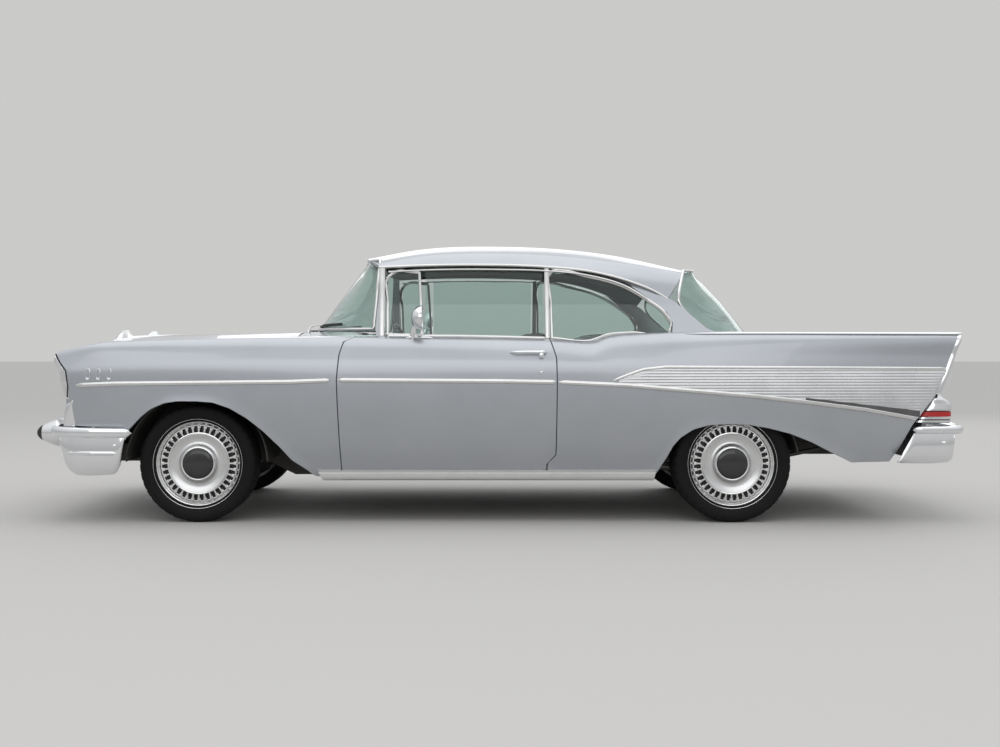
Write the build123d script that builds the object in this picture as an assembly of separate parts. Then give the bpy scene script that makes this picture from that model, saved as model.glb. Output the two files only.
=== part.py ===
"""Two-door hardtop of the 1950s with tail fins, as an assembly of named pieces.

Millimetres.  +X runs rearward, +Y to the car's right, +Z up.  The origin lies on the ground at
the middle of the length, on the centre plane.  The tables below give stations (x) measured from
the front axle, rearward positive; save() moves every piece to the part's own origin.
"""
import os
from math import cos, radians, sin

from build123d import *

# ---------------------------------------------------------------- driving dimensions
WHEELBASE = 2921.0
REAR = WHEELBASE  # station of the rear axle, from which the rear stations are told
FRONT_OVERHANG = 972.0
REAR_OVERHANG = 1268.0
TRACK_FRONT = 1474.0
TRACK_REAR = 1494.0
AXLE_HEIGHT = 320.0

TYRE_WIDTH = 225.0
TYRE_RADIUS = AXLE_HEIGHT
RIM_RADIUS = 229.0
RIM_LIP = 14.0
RIM_WIDTH = 200.0
FLANGE = 5.0
RIM_WALL = 9.0
BEAD_CLEARANCE = 0.3
SLOT_COUNT = 36
SLOT_RING = (171.0, 205.0)
CAP_RADIUS = 84.0
HUB_BORE = 34.0
STUD_CIRCLE = 120.65
STUD_RADIUS = 7.0
KINGPIN_OFFSET = 62.0
WELL_INNER = TRACK_REAR / 2 - TYRE_WIDTH / 2 - 44.5

PANEL_GAP = 8.0
DOOR_THICKNESS = 80.0
FENDER_THICKNESS = 20.0
QUARTER_THICKNESS = 28.0
LID_THICKNESS = 26.0
ROOF_THICKNESS = 34.0
GLASS_THICKNESS = 6.0
TRIM_THICKNESS = 11.0
SEAT_GAP = 0.3

SILL_BOTTOM = 250.0
SILL_TOP = 282.0
DOOR_BOTTOM = SILL_TOP + PANEL_GAP
FLOOR_BOTTOM = 334.0
FLOOR_THICKNESS = 14.0
TRUNK_FLOOR = 500.0

RAIL_INNER, RAIL_OUTER = 365.0, 435.0
RAIL_BOTTOM, RAIL_TOP = 222.0, FLOOR_BOTTOM - SEAT_GAP
TUNNEL_HALF, TUNNEL_TOP = 112.0, 440.0
EXHAUST_Z, PIPE_RADIUS = 262.0, 24.0
POST_RADIUS = 21.0
DRUM_RADIUS = 148.0

LAMP_Y, LAMP_Z, LAMP_HOLE = 738.0, 790.0, 96.0
BULLET_Y, BULLET_Z = 560.0, 472.0
PLATE_FACE = REAR + 1131.0
PLATE_HOLE_Z = 610.0
PLATE_HOLE_SPACING = 178.0
PLATE_HOLE_RADIUS = 3.5
MOULDING_ROOT = 16.0

# side glass leans in from the foot to the head (half-width, height)
GLASS_FOOT = (806.0, 1000.0)
GLASS_HEAD = (694.0, 1400.0)
COLUMN_FOOT = (817.0, -370.0, 690.0)
COLUMN_HEAD = (1140.0, -370.0, 905.0)
STEERING_RADIUS = 208.0
STEERING_GRIP = 12.0

# ---------------------------------------------------------------- body side sections
# Columns: station x, then half-width (and height) of the side at its sill, low arc middle,
# widest point, shoulder arc middle, top ridge and inner edge. Sill and low have the fixed
# heights Z_SILL and Z_LOW.
Z_SILL, Z_LOW = 240.0, 450.0
FENDER_ROWS = (
    (-800, 800, 842, 868, 740, 862, 850, 832, 922, 640, 912),
    (-480, 806, 858, 895, 745, 887, 870, 846, 986, 650, 968),
    (0, 816, 876, 918, 752, 905, 890, 850, 1004, 664, 996),
    (450, 824, 888, 932, 758, 913, 900, 850, 1012, 690, 1008),
    (880, 828, 894, 938, 762, 916, 902, 846, 1017, 770, 1016),
)
DOOR_ROWS = (
    (740, 827, 893, 936, 762, 915, 902, 847, 1017),
    (1400, 828, 895, 938, 764, 917, 902, 846, 1013),
    (1990, 828, 895, 938, 765, 917, 902, 846, 1003),
)
QUARTER_ROWS = (
    (1900, 828, 895, 938, 765, 917, 902, 846, 1039, 770, 1038),
    (REAR - 271, 826, 892, 936, 766, 916, 902, 852, 1039, 762, 1036),
    (REAR + 259, 820, 886, 928, 766, 912, 902, 862, 1037, 672, 1000),
    (REAR + 759, 808, 872, 914, 766, 901, 902, 863, 1036, 660, 956),
    (REAR + 1249, 792, 854, 894, 766, 886, 902, 862, 1034, 650, 906),
)

# ---------------------------------------------------------------- side-view outlines (x, z)
FENDER_FRONT = ((-772, 926), (-736, 869), (-702, 828), (-692, 743), (-695, 693), (-668, 532))
FRONT_ARCH = ((-365, 511), (-294, 584), (-240, 625), (-169, 656), (-98, 667), (10, 667),
              (99, 660), (189, 629), (278, 576), (367, 504), (457, 414), (518, 343), (598, 290))
DOOR_FRONT_GAP = ((790, 250), (780, 439), (768, 783), (780, 920), (802, 989), (863, 1010))
DOOR_REAR_GAP = ((1908, 250), (1908, 322), (1956, 370), (1959, 783), (1956, 903), (1925, 1003))
REAR_ARCH = ((REAR - 370, 338), (REAR - 341, 409), (REAR - 294, 467), (REAR - 224, 514),
             (REAR - 142, 537), (REAR - 49, 543),
             (REAR + 68, 540), (REAR + 185, 520), (REAR + 302, 490), (REAR + 419, 444),
             (REAR + 535, 385), (REAR + 652, 329))
TAIL_EDGE = ((REAR + 863, 333), (REAR + 915, 420), (REAR + 969, 530), (REAR + 1089, 700),
             (REAR + 1121, 711), (REAR + 1231, 1000))
BELT_DIP = ((1950, 1002), (REAR - 766, 989), (REAR - 679, 1020), (REAR - 541, 1032), (REAR - 332, 1037))

# ---------------------------------------------------------------- joints
DOOR_HINGE = (718.0, 888.0)
HINGE_HEIGHTS = (580.0, 780.0)
HINGE_LEAF = 24.0
HINGE_RADIUS = 9.0
HINGE_SCOOP = 71.5
HOOD_HINGE = (527.0, 1047.0)
TRUNK_HINGE = (REAR + 231, 1048.0)
LENGTH = FRONT_OVERHANG + WHEELBASE + REAR_OVERHANG
FRONT_AXLE_X = -LENGTH / 2 + FRONT_OVERHANG


# ---------------------------------------------------------------- helpers
def block(x0, x1, y0, y1, z0, z1):
    """Rectangular solid between two corners."""
    size = (x1 - x0, y1 - y0, z1 - z0)
    centre = ((x0 + x1) / 2, (y0 + y1) / 2, (z0 + z1) / 2)
    return Pos(*centre) * Box(*size)


def side_prism(points, y0, y1):
    """Outline given in the side view (x, z), carried from y0 to y1."""
    plane = Plane(origin=(0, y1, 0), x_dir=(1, 0, 0), z_dir=(0, -1, 0))
    face = make_face(Polyline(*points, close=True))
    return extrude(plane * face, amount=y1 - y0)


def plan_prism(points, z0, z1):
    """Outline given from above (x, y), carried from z0 to z1."""
    face = make_face(Polyline(*points, close=True))
    return Pos(0, 0, z0) * extrude(face, amount=z1 - z0)


def front_prism(points, x0, x1):
    """Outline given from the front (y, z), carried from x0 to x1."""
    plane = Plane(origin=(x0, 0, 0), x_dir=(0, 1, 0), z_dir=(1, 0, 0))
    face = make_face(Polyline(*points, close=True))
    return extrude(plane * face, amount=x1 - x0)


def rod(start, end, radius):
    """Round bar between two points."""
    a, b = Vector(*start), Vector(*end)
    plane = Plane(origin=a, z_dir=b - a)
    return extrude(plane * Circle(radius), amount=(b - a).length)


def axle_turn(profile, x, z):
    """Profile (distance from the centre plane, radius) revolved about a line along Y."""
    face = make_face(Polyline(*[(r, y) for y, r in profile], close=True))
    plane = Plane(origin=(x, 0, z), x_dir=(1, 0, 0), z_dir=(0, 0, 1))
    turned = revolve(plane * face, Axis((x, 0, z), (0, 1, 0)))
    return turned


def nose_turn(profile, y, z):
    """Profile (station, radius) revolved about a line along X."""
    plane = Plane(origin=(0, y, z), x_dir=(1, 0, 0), z_dir=(0, -1, 0))
    face = make_face(Polyline(*profile, close=True))
    return revolve(plane * face, Axis((0, y, z), (1, 0, 0)))


def both_sides(solid):
    """A right-hand solid and its left-hand twin."""
    return [solid, mirror(solid, about=Plane.XZ)]


def left(solid):
    """Left-hand twin of a right-hand solid."""
    return mirror(solid, about=Plane.XZ)


def solids_of(shapes):
    """Flat list of the solids in shapes."""
    found = []
    for shape in shapes:
        found.extend(shape.solids())
    return found


def save(name, *shapes):
    """Write one node, moved from front-axle stations to the part's origin."""
    found = solids_of(shapes)
    body = found[0] if len(found) == 1 else Compound(children=found)
    export_step(Pos(FRONT_AXLE_X, 0, 0) * body, os.path.join("parts", name + ".step"))


def crowned_wire(row, t):
    """Cross-section of a panel that turns over a ridge to its inner edge."""
    x, ys, yl, yw, zw, yh, zh, yt, zt, yi, zi = row
    edges = [
        ThreePointArc((x, ys, Z_SILL), (x, yl, Z_LOW), (x, yw, zw)),
        ThreePointArc((x, yw, zw), (x, yh, zh), (x, yt, zt)),
        Line((x, yt, zt), (x, yi, zi)),
        Line((x, yi, zi), (x, yi, zi - t)),
        Line((x, yi, zi - t), (x, yt - t, zt - 1.6 * t)),
        ThreePointArc((x, yt - t, zt - 1.6 * t), (x, yh - t, zh - 0.5 * t), (x, yw - t, zw)),
        ThreePointArc((x, yw - t, zw), (x, yl - t, Z_LOW), (x, ys - t, Z_SILL)),
        Line((x, ys - t, Z_SILL), (x, ys, Z_SILL)),
    ]
    return Wire(edges)


def wall_wire(row, outer, inner):
    """Cross-section of a wall between two depths below the skin."""
    x, ys, yl, yw, zw, yh, zh, yt, zt = row[:9]
    o, i = outer, inner
    edges = [
        ThreePointArc((x, ys - o, Z_SILL), (x, yl - o, Z_LOW), (x, yw - o, zw)),
        ThreePointArc((x, yw - o, zw), (x, yh - o, zh), (x, yt - o, zt)),
        Line((x, yt - o, zt), (x, yt - i, zt)),
        ThreePointArc((x, yt - i, zt), (x, yh - i, zh), (x, yw - i, zw)),
        ThreePointArc((x, yw - i, zw), (x, yl - i, Z_LOW), (x, ys - i, Z_SILL)),
        Line((x, ys - i, Z_SILL), (x, ys - o, Z_SILL)),
    ]
    return Wire(edges)


def beside(points, gap):
    """Line that runs parallel to points at a distance; positive moves it rearward of a rising line."""
    moved = []
    last = len(points) - 1
    for k, (x, z) in enumerate(points):
        xa, za = points[max(k - 1, 0)]
        xb, zb = points[min(k + 1, last)]
        length = ((xb - xa) ** 2 + (zb - za) ** 2) ** 0.5
        moved.append((x + gap * (zb - za) / length, z - gap * (xb - xa) / length))
    return tuple(moved)


# ---------------------------------------------------------------- body panels
def fender():
    """Right front fender: skin from the lamp to the door gap, open at the wheel."""
    skin = Solid.make_loft([crowned_wire(row, FENDER_THICKNESS) for row in FENDER_ROWS])
    rear = beside(DOOR_FRONT_GAP, -PANEL_GAP)
    keep = ((-790, 1100), (-790, 950)) + FENDER_FRONT + FRONT_ARCH + ((640, SILL_BOTTOM),) \
        + rear + ((850, 1100),)
    return (skin & side_prism(keep, 500, 1000)) + fender_nose()


def fender_nose():
    """Front face of the fender under and around the head lamp."""
    outline = ((-745, 905), (-702, 828), (-694, 743), (-697, 693), (-672, 535), (-640, 535),
               (-640, 905))
    cap = side_prism(outline, 612, 846) - block(-800, -600, 600, 642, 846, 1000)
    return cap - nose_turn(((-900, 0), (-900, LAMP_HOLE), (-600, LAMP_HOLE), (-600, 0)), LAMP_Y, LAMP_Z)


def door():
    """Right door shell, scooped at the front so that it turns clear of the fender."""
    rows = [wall_wire(row, 0, DOOR_THICKNESS) for row in DOOR_ROWS]
    shell = Solid.make_loft(rows)
    front = tuple(p for p in DOOR_FRONT_GAP if p[1] > DOOR_BOTTOM)
    rear = tuple(p for p in reversed(DOOR_REAR_GAP) if p[1] > DOOR_BOTTOM)
    keep = ((789, DOOR_BOTTOM),) + front + ((863, 1100), (1925, 1100)) + rear + ((1908, DOOR_BOTTOM),)
    shell = shell & side_prism(keep, 500, 1000)
    scoop = Pos(DOOR_HINGE[0], DOOR_HINGE[1], 650) * Cylinder(HINGE_SCOOP, 900)
    rebate = ((1895, 200), (1895, 330), (1938, 380), (1942, 783), (1938, 903), (1908, 1003),
              (1908, 1110), (2000, 1110), (2000, 200))
    arms = []
    hx, hy = DOOR_HINGE
    for z in HINGE_HEIGHTS:
        z0, z1 = z + HINGE_LEAF + SEAT_GAP, z + 2 * HINGE_LEAF
        arms.append(Pos(hx, hy, (z0 + z1) / 2) * Cylinder(HINGE_RADIUS, z1 - z0))
        arms.append(block(hx - HINGE_RADIUS, hx + HINGE_RADIUS, hy - 66, hy, z0, z1))
        arms.append(block(hx - HINGE_RADIUS, hx + 84, hy - 66, hy - 48, z0, z1))
        arms.append(block(hx + 66, hx + 84, hy - 66, hy - 34, z0, z1))
    return (shell - scoop - side_prism(rebate, 600, 800)) + arms


def quarter():
    """Right quarter panel with its fin, from the door gap to the tail."""
    skin = Solid.make_loft([crowned_wire(row, QUARTER_THICKNESS) for row in QUARTER_ROWS])
    front = beside(DOOR_REAR_GAP, PANEL_GAP)
    keep = front + BELT_DIP + ((REAR - 221, 1100), (REAR + 1279, 1100)) + tuple(reversed(TAIL_EDGE)) \
        + tuple(reversed(REAR_ARCH)) + ((REAR - 429, SILL_BOTTOM),)
    return skin & side_prism(keep, 500, 1000)


# across the car: y, then (x, z) of the front edge, the middle and the rear edge of the panel
HOOD_ROWS = (
    (-1, (-775, 858), (-640, 962), (-300, 1000), (520, 1018)),
    (-0.5, (-796, 858), (-650, 978), (-300, 1020), (520, 1046)),
    (0, (-800, 858), (-655, 966), (-300, 1008), (520, 1046)),
)


def hood_wire(y, p0, p1, p2, p3):
    """Side section of the hood: nose arc, long top, both repeated one thickness inside."""
    t = LID_THICKNESS
    mid01 = ((p0[0] + p1[0]) / 2 - 26, (p0[1] + p1[1]) / 2 + 22)
    mid23 = ((p2[0] + p3[0]) / 2, (p2[1] + p3[1]) / 2 + 9)
    mid12 = ((p1[0] + p2[0]) / 2, (p1[1] + p2[1]) / 2 + 8)
    edges = [
        ThreePointArc((p0[0], y, p0[1]), (mid01[0], y, mid01[1]), (p1[0], y, p1[1])),
        ThreePointArc((p1[0], y, p1[1]), (mid12[0], y, mid12[1]), (p2[0], y, p2[1])),
        ThreePointArc((p2[0], y, p2[1]), (mid23[0], y, mid23[1]), (p3[0], y, p3[1])),
        Line((p3[0], y, p3[1]), (p3[0], y, p3[1] - t)),
        ThreePointArc((p3[0], y, p3[1] - t), (mid23[0], y, mid23[1] - t), (p2[0], y, p2[1] - t)),
        ThreePointArc((p2[0], y, p2[1] - t), (mid12[0], y, mid12[1] - t), (p1[0] + 8, y, p1[1] - t)),
        ThreePointArc((p1[0] + 8, y, p1[1] - t), (mid01[0] + t, y, mid01[1] - 10), (p0[0] + t, y, p0[1])),
        Line((p0[0] + t, y, p0[1]), (p0[0], y, p0[1])),
    ]
    return Wire(edges)


def hood():
    """Hood panel between the fenders, lofted across the car and trimmed to the gap in plan."""
    half = 700.0
    rows = [(-half, 0), (-330, 1), (0, 2), (330, 1), (half, 0)]
    panel = Solid.make_loft([hood_wire(y, *HOOD_ROWS[k][1:]) for y, k in rows])
    gap = PANEL_GAP
    plan = ((-900, 640 - gap), (0, 664 - gap), (530, 683 - gap), (530, gap - 683), (0, gap - 664),
            (-900, gap - 640))
    return panel & plan_prism(plan, 700, 1200)


LID_ROWS = (
    (0, (REAR + 239, 1047), (REAR + 679, 1015), (REAR + 1079, 925), (REAR + 1137, 660)),
    (1, (REAR + 239, 1018), (REAR + 679, 985), (REAR + 1064, 900), (REAR + 1115, 660)),
)


def lid_wire(y, p0, p1, p2, p3):
    """Side section of the trunk lid: deck arc, then the arc down its rear face."""
    t = LID_THICKNESS
    corner = (REAR + 1124 if y == 0 else REAR + 1104, 830.0)
    edges = [
        ThreePointArc((p0[0], y, p0[1]), (p1[0], y, p1[1]), (p2[0], y, p2[1])),
        ThreePointArc((p2[0], y, p2[1]), (corner[0], y, corner[1]), (p3[0], y, p3[1])),
        Line((p3[0], y, p3[1]), (p3[0] - t, y, p3[1])),
        ThreePointArc((p3[0] - t, y, p3[1]), (corner[0] - t, y, corner[1]), (p2[0] - t, y, p2[1] - t)),
        ThreePointArc((p2[0] - t, y, p2[1] - t), (p1[0], y, p1[1] - t), (p0[0], y, p0[1] - t)),
        Line((p0[0], y, p0[1] - t), (p0[0], y, p0[1])),
    ]
    return Wire(edges)


def trunk_lid():
    """Trunk lid between the fins."""
    rows = [(-640, 1), (0, 0), (640, 1)]
    panel = Solid.make_loft([lid_wire(y, *LID_ROWS[k][1:]) for y, k in rows])
    gap = PANEL_GAP
    plan = ((REAR + 229, 650 - gap), (REAR + 1279, 632 - gap), (REAR + 1279, gap - 632),
            (REAR + 229, gap - 650))
    return panel & plan_prism(plan, 600, 1200)


# ---------------------------------------------------------------- roof and glass
# y, then (x, z) of the front edge, the crown and the rear edge of the roof
ROOF_ROWS = (
    (0, (872, 1474), (1650, 1546), (REAR - 149, 1394)),
    (400, (892, 1466), (1650, 1538), (REAR - 169, 1391)),
    (610, (940, 1440), (1640, 1492), (REAR - 229, 1376)),
    (692, (985, 1408), (1640, 1421), (REAR - 331, 1226)),
)


def roof(extra=0.0):
    """Roof panel, lofted across the car; extra thickens it inwards."""
    rows = [(-y, a, b, c) for y, a, b, c in reversed(ROOF_ROWS[1:])] + list(ROOF_ROWS)
    wires = []
    for y, a, b, c in rows:
        t = extra + ROOF_THICKNESS * (1.0 if abs(y) < 650 else 0.5)
        wires.append(Wire([
            ThreePointArc((a[0], y, a[1]), (b[0], y, b[1]), (c[0], y, c[1])),
            Line((c[0], y, c[1]), (c[0] - 5, y, c[1] - t)),
            ThreePointArc((c[0] - 5, y, c[1] - t), (b[0], y, b[1] - t), (a[0] + 5, y, a[1] - t)),
            Line((a[0] + 5, y, a[1] - t), (a[0], y, a[1])),
        ]))
    return Solid.make_loft(wires)


def bow(z, x_mid, y_turn, x_turn, y_end, x_end, t):
    """Plan section of wrap-around glass: shallow middle arc, tighter corner arcs."""
    s = 1 if x_end > x_mid else -1
    xc = (x_turn + x_end) / 2 - s * 18
    yc = (y_turn + y_end) / 2 + 22
    edges = [
        ThreePointArc((x_end, -y_end, z), (xc, -yc, z), (x_turn, -y_turn, z)),
        ThreePointArc((x_turn, -y_turn, z), (x_mid, 0, z), (x_turn, y_turn, z)),
        ThreePointArc((x_turn, y_turn, z), (xc, yc, z), (x_end, y_end, z)),
        Line((x_end, y_end, z), (x_end, y_end - t, z)),
        ThreePointArc((x_end, y_end - t, z), (xc + s * t, yc - t, z), (x_turn + s * t, y_turn - t, z)),
        ThreePointArc((x_turn + s * t, y_turn - t, z), (x_mid + s * t, 0, z),
                      (x_turn + s * t, t - y_turn, z)),
        ThreePointArc((x_turn + s * t, t - y_turn, z), (xc + s * t, t - yc, z), (x_end, t - y_end, z)),
        Line((x_end, t - y_end, z), (x_end, -y_end, z)),
    ]
    return Wire(edges)


def windshield():
    """Wrap-around windshield between cowl, pillars and roof."""
    return Solid.make_loft([
        bow(1066, 590, 520, 690, 745, 955, GLASS_THICKNESS),
        bow(1250, 724, 500, 800, 725, 972, GLASS_THICKNESS),
        bow(1452, 872, 470, 920, 640, 985, GLASS_THICKNESS),
    ])


def rear_window():
    """Wrap-around rear window."""
    return Solid.make_loft([
        bow(1030, REAR + 219, 500, REAR + 119, 720, REAR - 101, GLASS_THICKNESS),
        bow(1225, REAR + 49, 480, REAR - 31, 700, REAR - 271, GLASS_THICKNESS),
        bow(1392, REAR - 139, 470, REAR - 165, 610, REAR - 231, GLASS_THICKNESS),
    ])


def leaned_slab(depth, t):
    """Slab that leans in with the side glass, its outer face at depth inside the glass line."""
    y0, z0 = GLASS_FOOT
    y1, z1 = GLASS_HEAD
    slope = (y1 - y0) / (z1 - z0)
    low, high = 900.0, 1460.0
    a = (y0 + slope * (low - z0) - depth, low)
    b = (y0 + slope * (high - z0) - depth, high)
    return front_prism((a, b, (b[0] - t, b[1]), (a[0] - t, a[1])), 600, REAR + 279)


def leaned(points, depth, t):
    """Side-view outline as a pane or frame in the leaning glass plane."""
    return leaned_slab(depth, t) & side_prism(points, 500, 900)


VENT_PANE = ((1035, 1020), (1035, 1358), (1050, 1371), (1208, 1374), (1216, 1020))
DOOR_PANE = ((1240, 990), (1240, 1383), (1650, 1385), (1878, 1376), (1890, 1366), (1890, 990))
QUARTER_PANE = ((1936, 985), (1936, 1374), (REAR - 766, 1350), (REAR - 559, 1284), (REAR - 459, 1222),
                (REAR - 355, 1142),
                (REAR - 329, 1090), (REAR - 336, 1037.3), (REAR - 541, 1032.3), (REAR - 679, 1020.3),
                (REAR - 766, 989.3), (1936, 1002.7))


def ring_of(points, inset):
    """Outline shrunk towards its middle."""
    cx = sum(p[0] for p in points) / len(points)
    cz = sum(p[1] for p in points) / len(points)
    out = []
    for x, z in points:
        dx, dz = x - cx, z - cz
        length = (dx * dx + dz * dz) ** 0.5
        out.append((x - dx / length * inset, z - dz / length * inset))
    return tuple(out)


def door_glass():
    """Panes of the door: vent pane, divider and main pane."""
    vent = leaned(VENT_PANE, 6, GLASS_THICKNESS)
    main = leaned(DOOR_PANE, 6, GLASS_THICKNESS)
    return [vent, main]


def door_window_frame():
    """Bright frame round the vent pane with its divider bar."""
    frame_outline = ((1026, 1000), (1026, 1364), (1046, 1381), (1216, 1384), (1239.7, 1384),
                     (1239.7, 1000))
    bar = leaned(frame_outline, 2, 14)
    hole = leaned(ring_of(VENT_PANE, -SEAT_GAP), 0, 40)
    return bar - hole


# ---------------------------------------------------------------- wheels
def tyre(y_mid):
    """Tyre seated between the rim flanges, square-shouldered."""
    half = TYRE_WIDTH / 2
    seat = RIM_WIDTH / 2 - FLANGE - BEAD_CLEARANCE
    r = TYRE_RADIUS
    bead = RIM_RADIUS + BEAD_CLEARANCE
    over = bead + RIM_LIP + 1
    right = [(seat, bead), (seat, over), (half, over + 20), (half, r - 36), (half - 7, r - 13),
             (half - 20, r)]
    profile = [(-y, radius) for y, radius in right] + list(reversed(right))
    return axle_turn([(y_mid + y, radius) for y, radius in profile], 0, 0)


def rim(y_mid):
    """Barrel with a ring of slots round a dished disc, for the right-hand side."""
    half = RIM_WIDTH / 2
    out = y_mid + half
    back = y_mid - half
    rr = RIM_RADIUS
    lip = rr + RIM_LIP
    profile = [
        (back, rr - 2), (back, lip), (back + FLANGE, lip), (back + FLANGE, rr),
        (out - FLANGE, rr), (out - FLANGE, lip), (out, lip), (out, lip - 6),
        (out - 16, rr - 10), (out - 30, SLOT_RING[1] + 5), (out - 36, SLOT_RING[1]),
        (out - 22, SLOT_RING[0]), (out - 30, 120), (out - 16, CAP_RADIUS + 8),
        (out - 2, CAP_RADIUS + 2), (out + 8, CAP_RADIUS - 10), (out + 14, 30), (out + 14, 0),
        (out - 60, 0), (out - 60, SLOT_RING[0] - 12), (out - 62, SLOT_RING[1] + 6),
        (back + 12, rr - RIM_WALL),
    ]
    wheel = axle_turn(profile, 0, 0)
    slot_mid = (SLOT_RING[0] + SLOT_RING[1]) / 2
    slot_long = SLOT_RING[1] - SLOT_RING[0]
    slot = Pos(0, out - 45, slot_mid) * Box(15, 60, slot_long)
    turns = [Rot(0, k * 360.0 / SLOT_COUNT, 0) * slot for k in range(SLOT_COUNT)]
    bore = rod((0, out - 61, 0), (0, out - 10, 0), HUB_BORE)
    wheel = wheel - turns - bore
    studs = []
    for k in range(5):
        angle = radians(72 * k)
        x, z = STUD_CIRCLE / 2 * cos(angle), STUD_CIRCLE / 2 * sin(angle)
        studs.append(rod((x, out - 61, z), (x, out - 12, z), STUD_RADIUS))
    return wheel - studs


# ---------------------------------------------------------------- greenhouse structure
A_PILLAR_SIDE = ((966, 1012), (1016, 1012), (1016, 1440), (986, 1440))
A_PILLAR_FRONT = ((704, 1012), (756, 1012), (686, 1440), (634, 1440))
C_PILLAR = ((REAR - 537, 1296), (REAR - 321, 1222), (REAR - 303, 1212), (REAR - 131, 1062),
            (REAR - 59, 1030), (REAR - 323, 1030),
            (REAR - 315, 1090), (REAR - 347, 1150), (REAR - 453, 1232))


def biggest(shape):
    """Largest solid of a shape."""
    return max(shape.solids(), key=lambda s: s.volume)


def a_pillar(roof_cut, glass_cut):
    """Front roof post beside the windshield."""
    post = side_prism(A_PILLAR_SIDE, 600, 800) & front_prism(A_PILLAR_FRONT, 900, 1100)
    return biggest(post - roof_cut - glass_cut)


def c_pillar(roof_cut, glass_cut, quarter_cut):
    """Rear roof post between the quarter window and the rear window."""
    post = leaned(C_PILLAR, -3, 42)
    return biggest(post - roof_cut - glass_cut - quarter_cut)


def cowl_and_firewall():
    """Cowl top under the windshield, firewall plate and hinge posts."""
    plan = ((533, -676), (533, 676), (700, 706), (850, 742), (1016, 756), (1016, 640), (960, 640),
            (860, 600), (800, 300), (800, -300), (860, -600), (960, -640), (1016, -640),
            (1016, -756), (850, -742), (700, -706))
    top = plan_prism(plan, 972, 1060)
    crown = front_prism(((-760, 960), (-760, 1011), (-690, 1018), (-400, 1044), (0, 1054),
                         (400, 1044), (690, 1018), (760, 1011), (760, 960)), 500, 1050)
    top = top & crown
    wall = block(800, 816, -690, 690, FLOOR_BOTTOM + FLOOR_THICKNESS + SEAT_GAP, 985)
    wall = wall - block(790, 830, -TUNNEL_HALF - 12, TUNNEL_HALF + 12, 300, TUNNEL_TOP + 12)
    hx, hy = DOOR_HINGE
    posts = both_sides(block(700, 764, 640, 752, SILL_BOTTOM, 973))
    for z in HINGE_HEIGHTS:
        leaf = block(hx - HINGE_RADIUS, hx + HINGE_RADIUS, 748, hy, z, z + HINGE_LEAF)
        knuckle_eye = Pos(hx, hy, z + HINGE_LEAF / 2) * Cylinder(HINGE_RADIUS, HINGE_LEAF)
        posts += both_sides(leaf + knuckle_eye)
    joins = both_sides(block(760, 816, 680, 752, FLOOR_BOTTOM + FLOOR_THICKNESS + SEAT_GAP, 973))
    pads = both_sides(block(500, 545, 480, 520, 975, 1024))
    pads = [biggest(pad - Pos(0, 0, -SEAT_GAP) * hood() - hood()) for pad in pads]
    return top + [wall] + posts + joins + pads


def floor_pan():
    """Cabin floor with its tunnel, riser, trunk floor and the sills under the doors."""
    z0, z1 = FLOOR_BOTTOM, FLOOR_BOTTOM + FLOOR_THICKNESS
    pan = block(800, REAR - 511, -720, 720, z0, z1)
    riser = side_prism(((REAR - 523, z0), (REAR - 395, TRUNK_FLOOR),
                        (REAR - 395, TRUNK_FLOOR + FLOOR_THICKNESS),
                        (REAR - 421, TRUNK_FLOOR + FLOOR_THICKNESS), (REAR - 533, z1)), -720, 720)
    rear = block(REAR - 411, REAR + 1009, -WELL_INNER, WELL_INNER, TRUNK_FLOOR, TRUNK_FLOOR + FLOOR_THICKNESS)
    hump = side_prism(((800, z0), (800, TUNNEL_TOP + 10), (REAR - 451, TUNNEL_TOP + 10),
                       (REAR - 451, z0)),
                      -TUNNEL_HALF - 10, TUNNEL_HALF + 10)
    hollow = block(700, REAR - 441, -TUNNEL_HALF, TUNNEL_HALF, z0 - 60, TUNNEL_TOP)
    sills = both_sides(block(790, 1900, 700, 745, 236, z1)) + both_sides(
        block(790, 1900, 740, 848, 236, SILL_TOP))
    shell = pan + [riser, rear, hump] + sills
    return shell - hollow


def wheelhouse():
    """Half-round housing over a rear wheel."""
    outer, inner = 372.0, 364.0
    y0, y1 = WELL_INNER + SEAT_GAP, 820
    wall = WELL_INNER + outer - inner
    arch = axle_turn([(y0, outer), (y1, outer), (y1, inner), (wall, inner), (wall, 60), (y0, 60)],
                     WHEELBASE, AXLE_HEIGHT)
    return arch & block(REAR - 421, REAR + 479, WELL_INNER, 860, AXLE_HEIGHT + 60, 760)


RAIL_LINE = ((-700, 300), (-700, 400), (300, 400), (470, RAIL_TOP), (REAR - 481, RAIL_TOP),
             (REAR - 349, TRUNK_FLOOR - SEAT_GAP), (REAR + 999, TRUNK_FLOOR - SEAT_GAP),
             (REAR + 999, 440), (REAR + 329, 400),
             (REAR + 209, 425), (REAR - 201, 425), (REAR - 401, RAIL_BOTTOM), (480, RAIL_BOTTOM),
             (320, 300))


def chassis_frame():
    """Two rails joined by cross members, with the front suspension towers."""
    rails = both_sides(side_prism(RAIL_LINE, RAIL_INNER, RAIL_OUTER))
    y = RAIL_INNER + 5
    members = [
        block(-690, -630, -y, y, 310, 390),
        block(-110, 110, -RAIL_OUTER, RAIL_OUTER, 214, 302),
        block(880, 950, -y, y, 226, 280),
        block(1640, 1710, -y, y, 226, 276),
        block(REAR - 541, REAR - 471, -y, y, 226, 276),
        block(REAR + 259, REAR + 319, -y, y, 430, 490),
        block(REAR + 929, REAR + 989, -y, y, 446, 492),
    ]
    towers = both_sides(block(-90, 90, RAIL_INNER, RAIL_OUTER, 398, 500))
    frame = rails[0] + [rails[1]] + members + towers
    pipes = [rod((600, side * 290, EXHAUST_Z),
                 (REAR - 321, side * 290, EXHAUST_Z), PIPE_RADIUS + SEAT_GAP)
             for side in (-1, 1)]
    return frame - pipes


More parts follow.
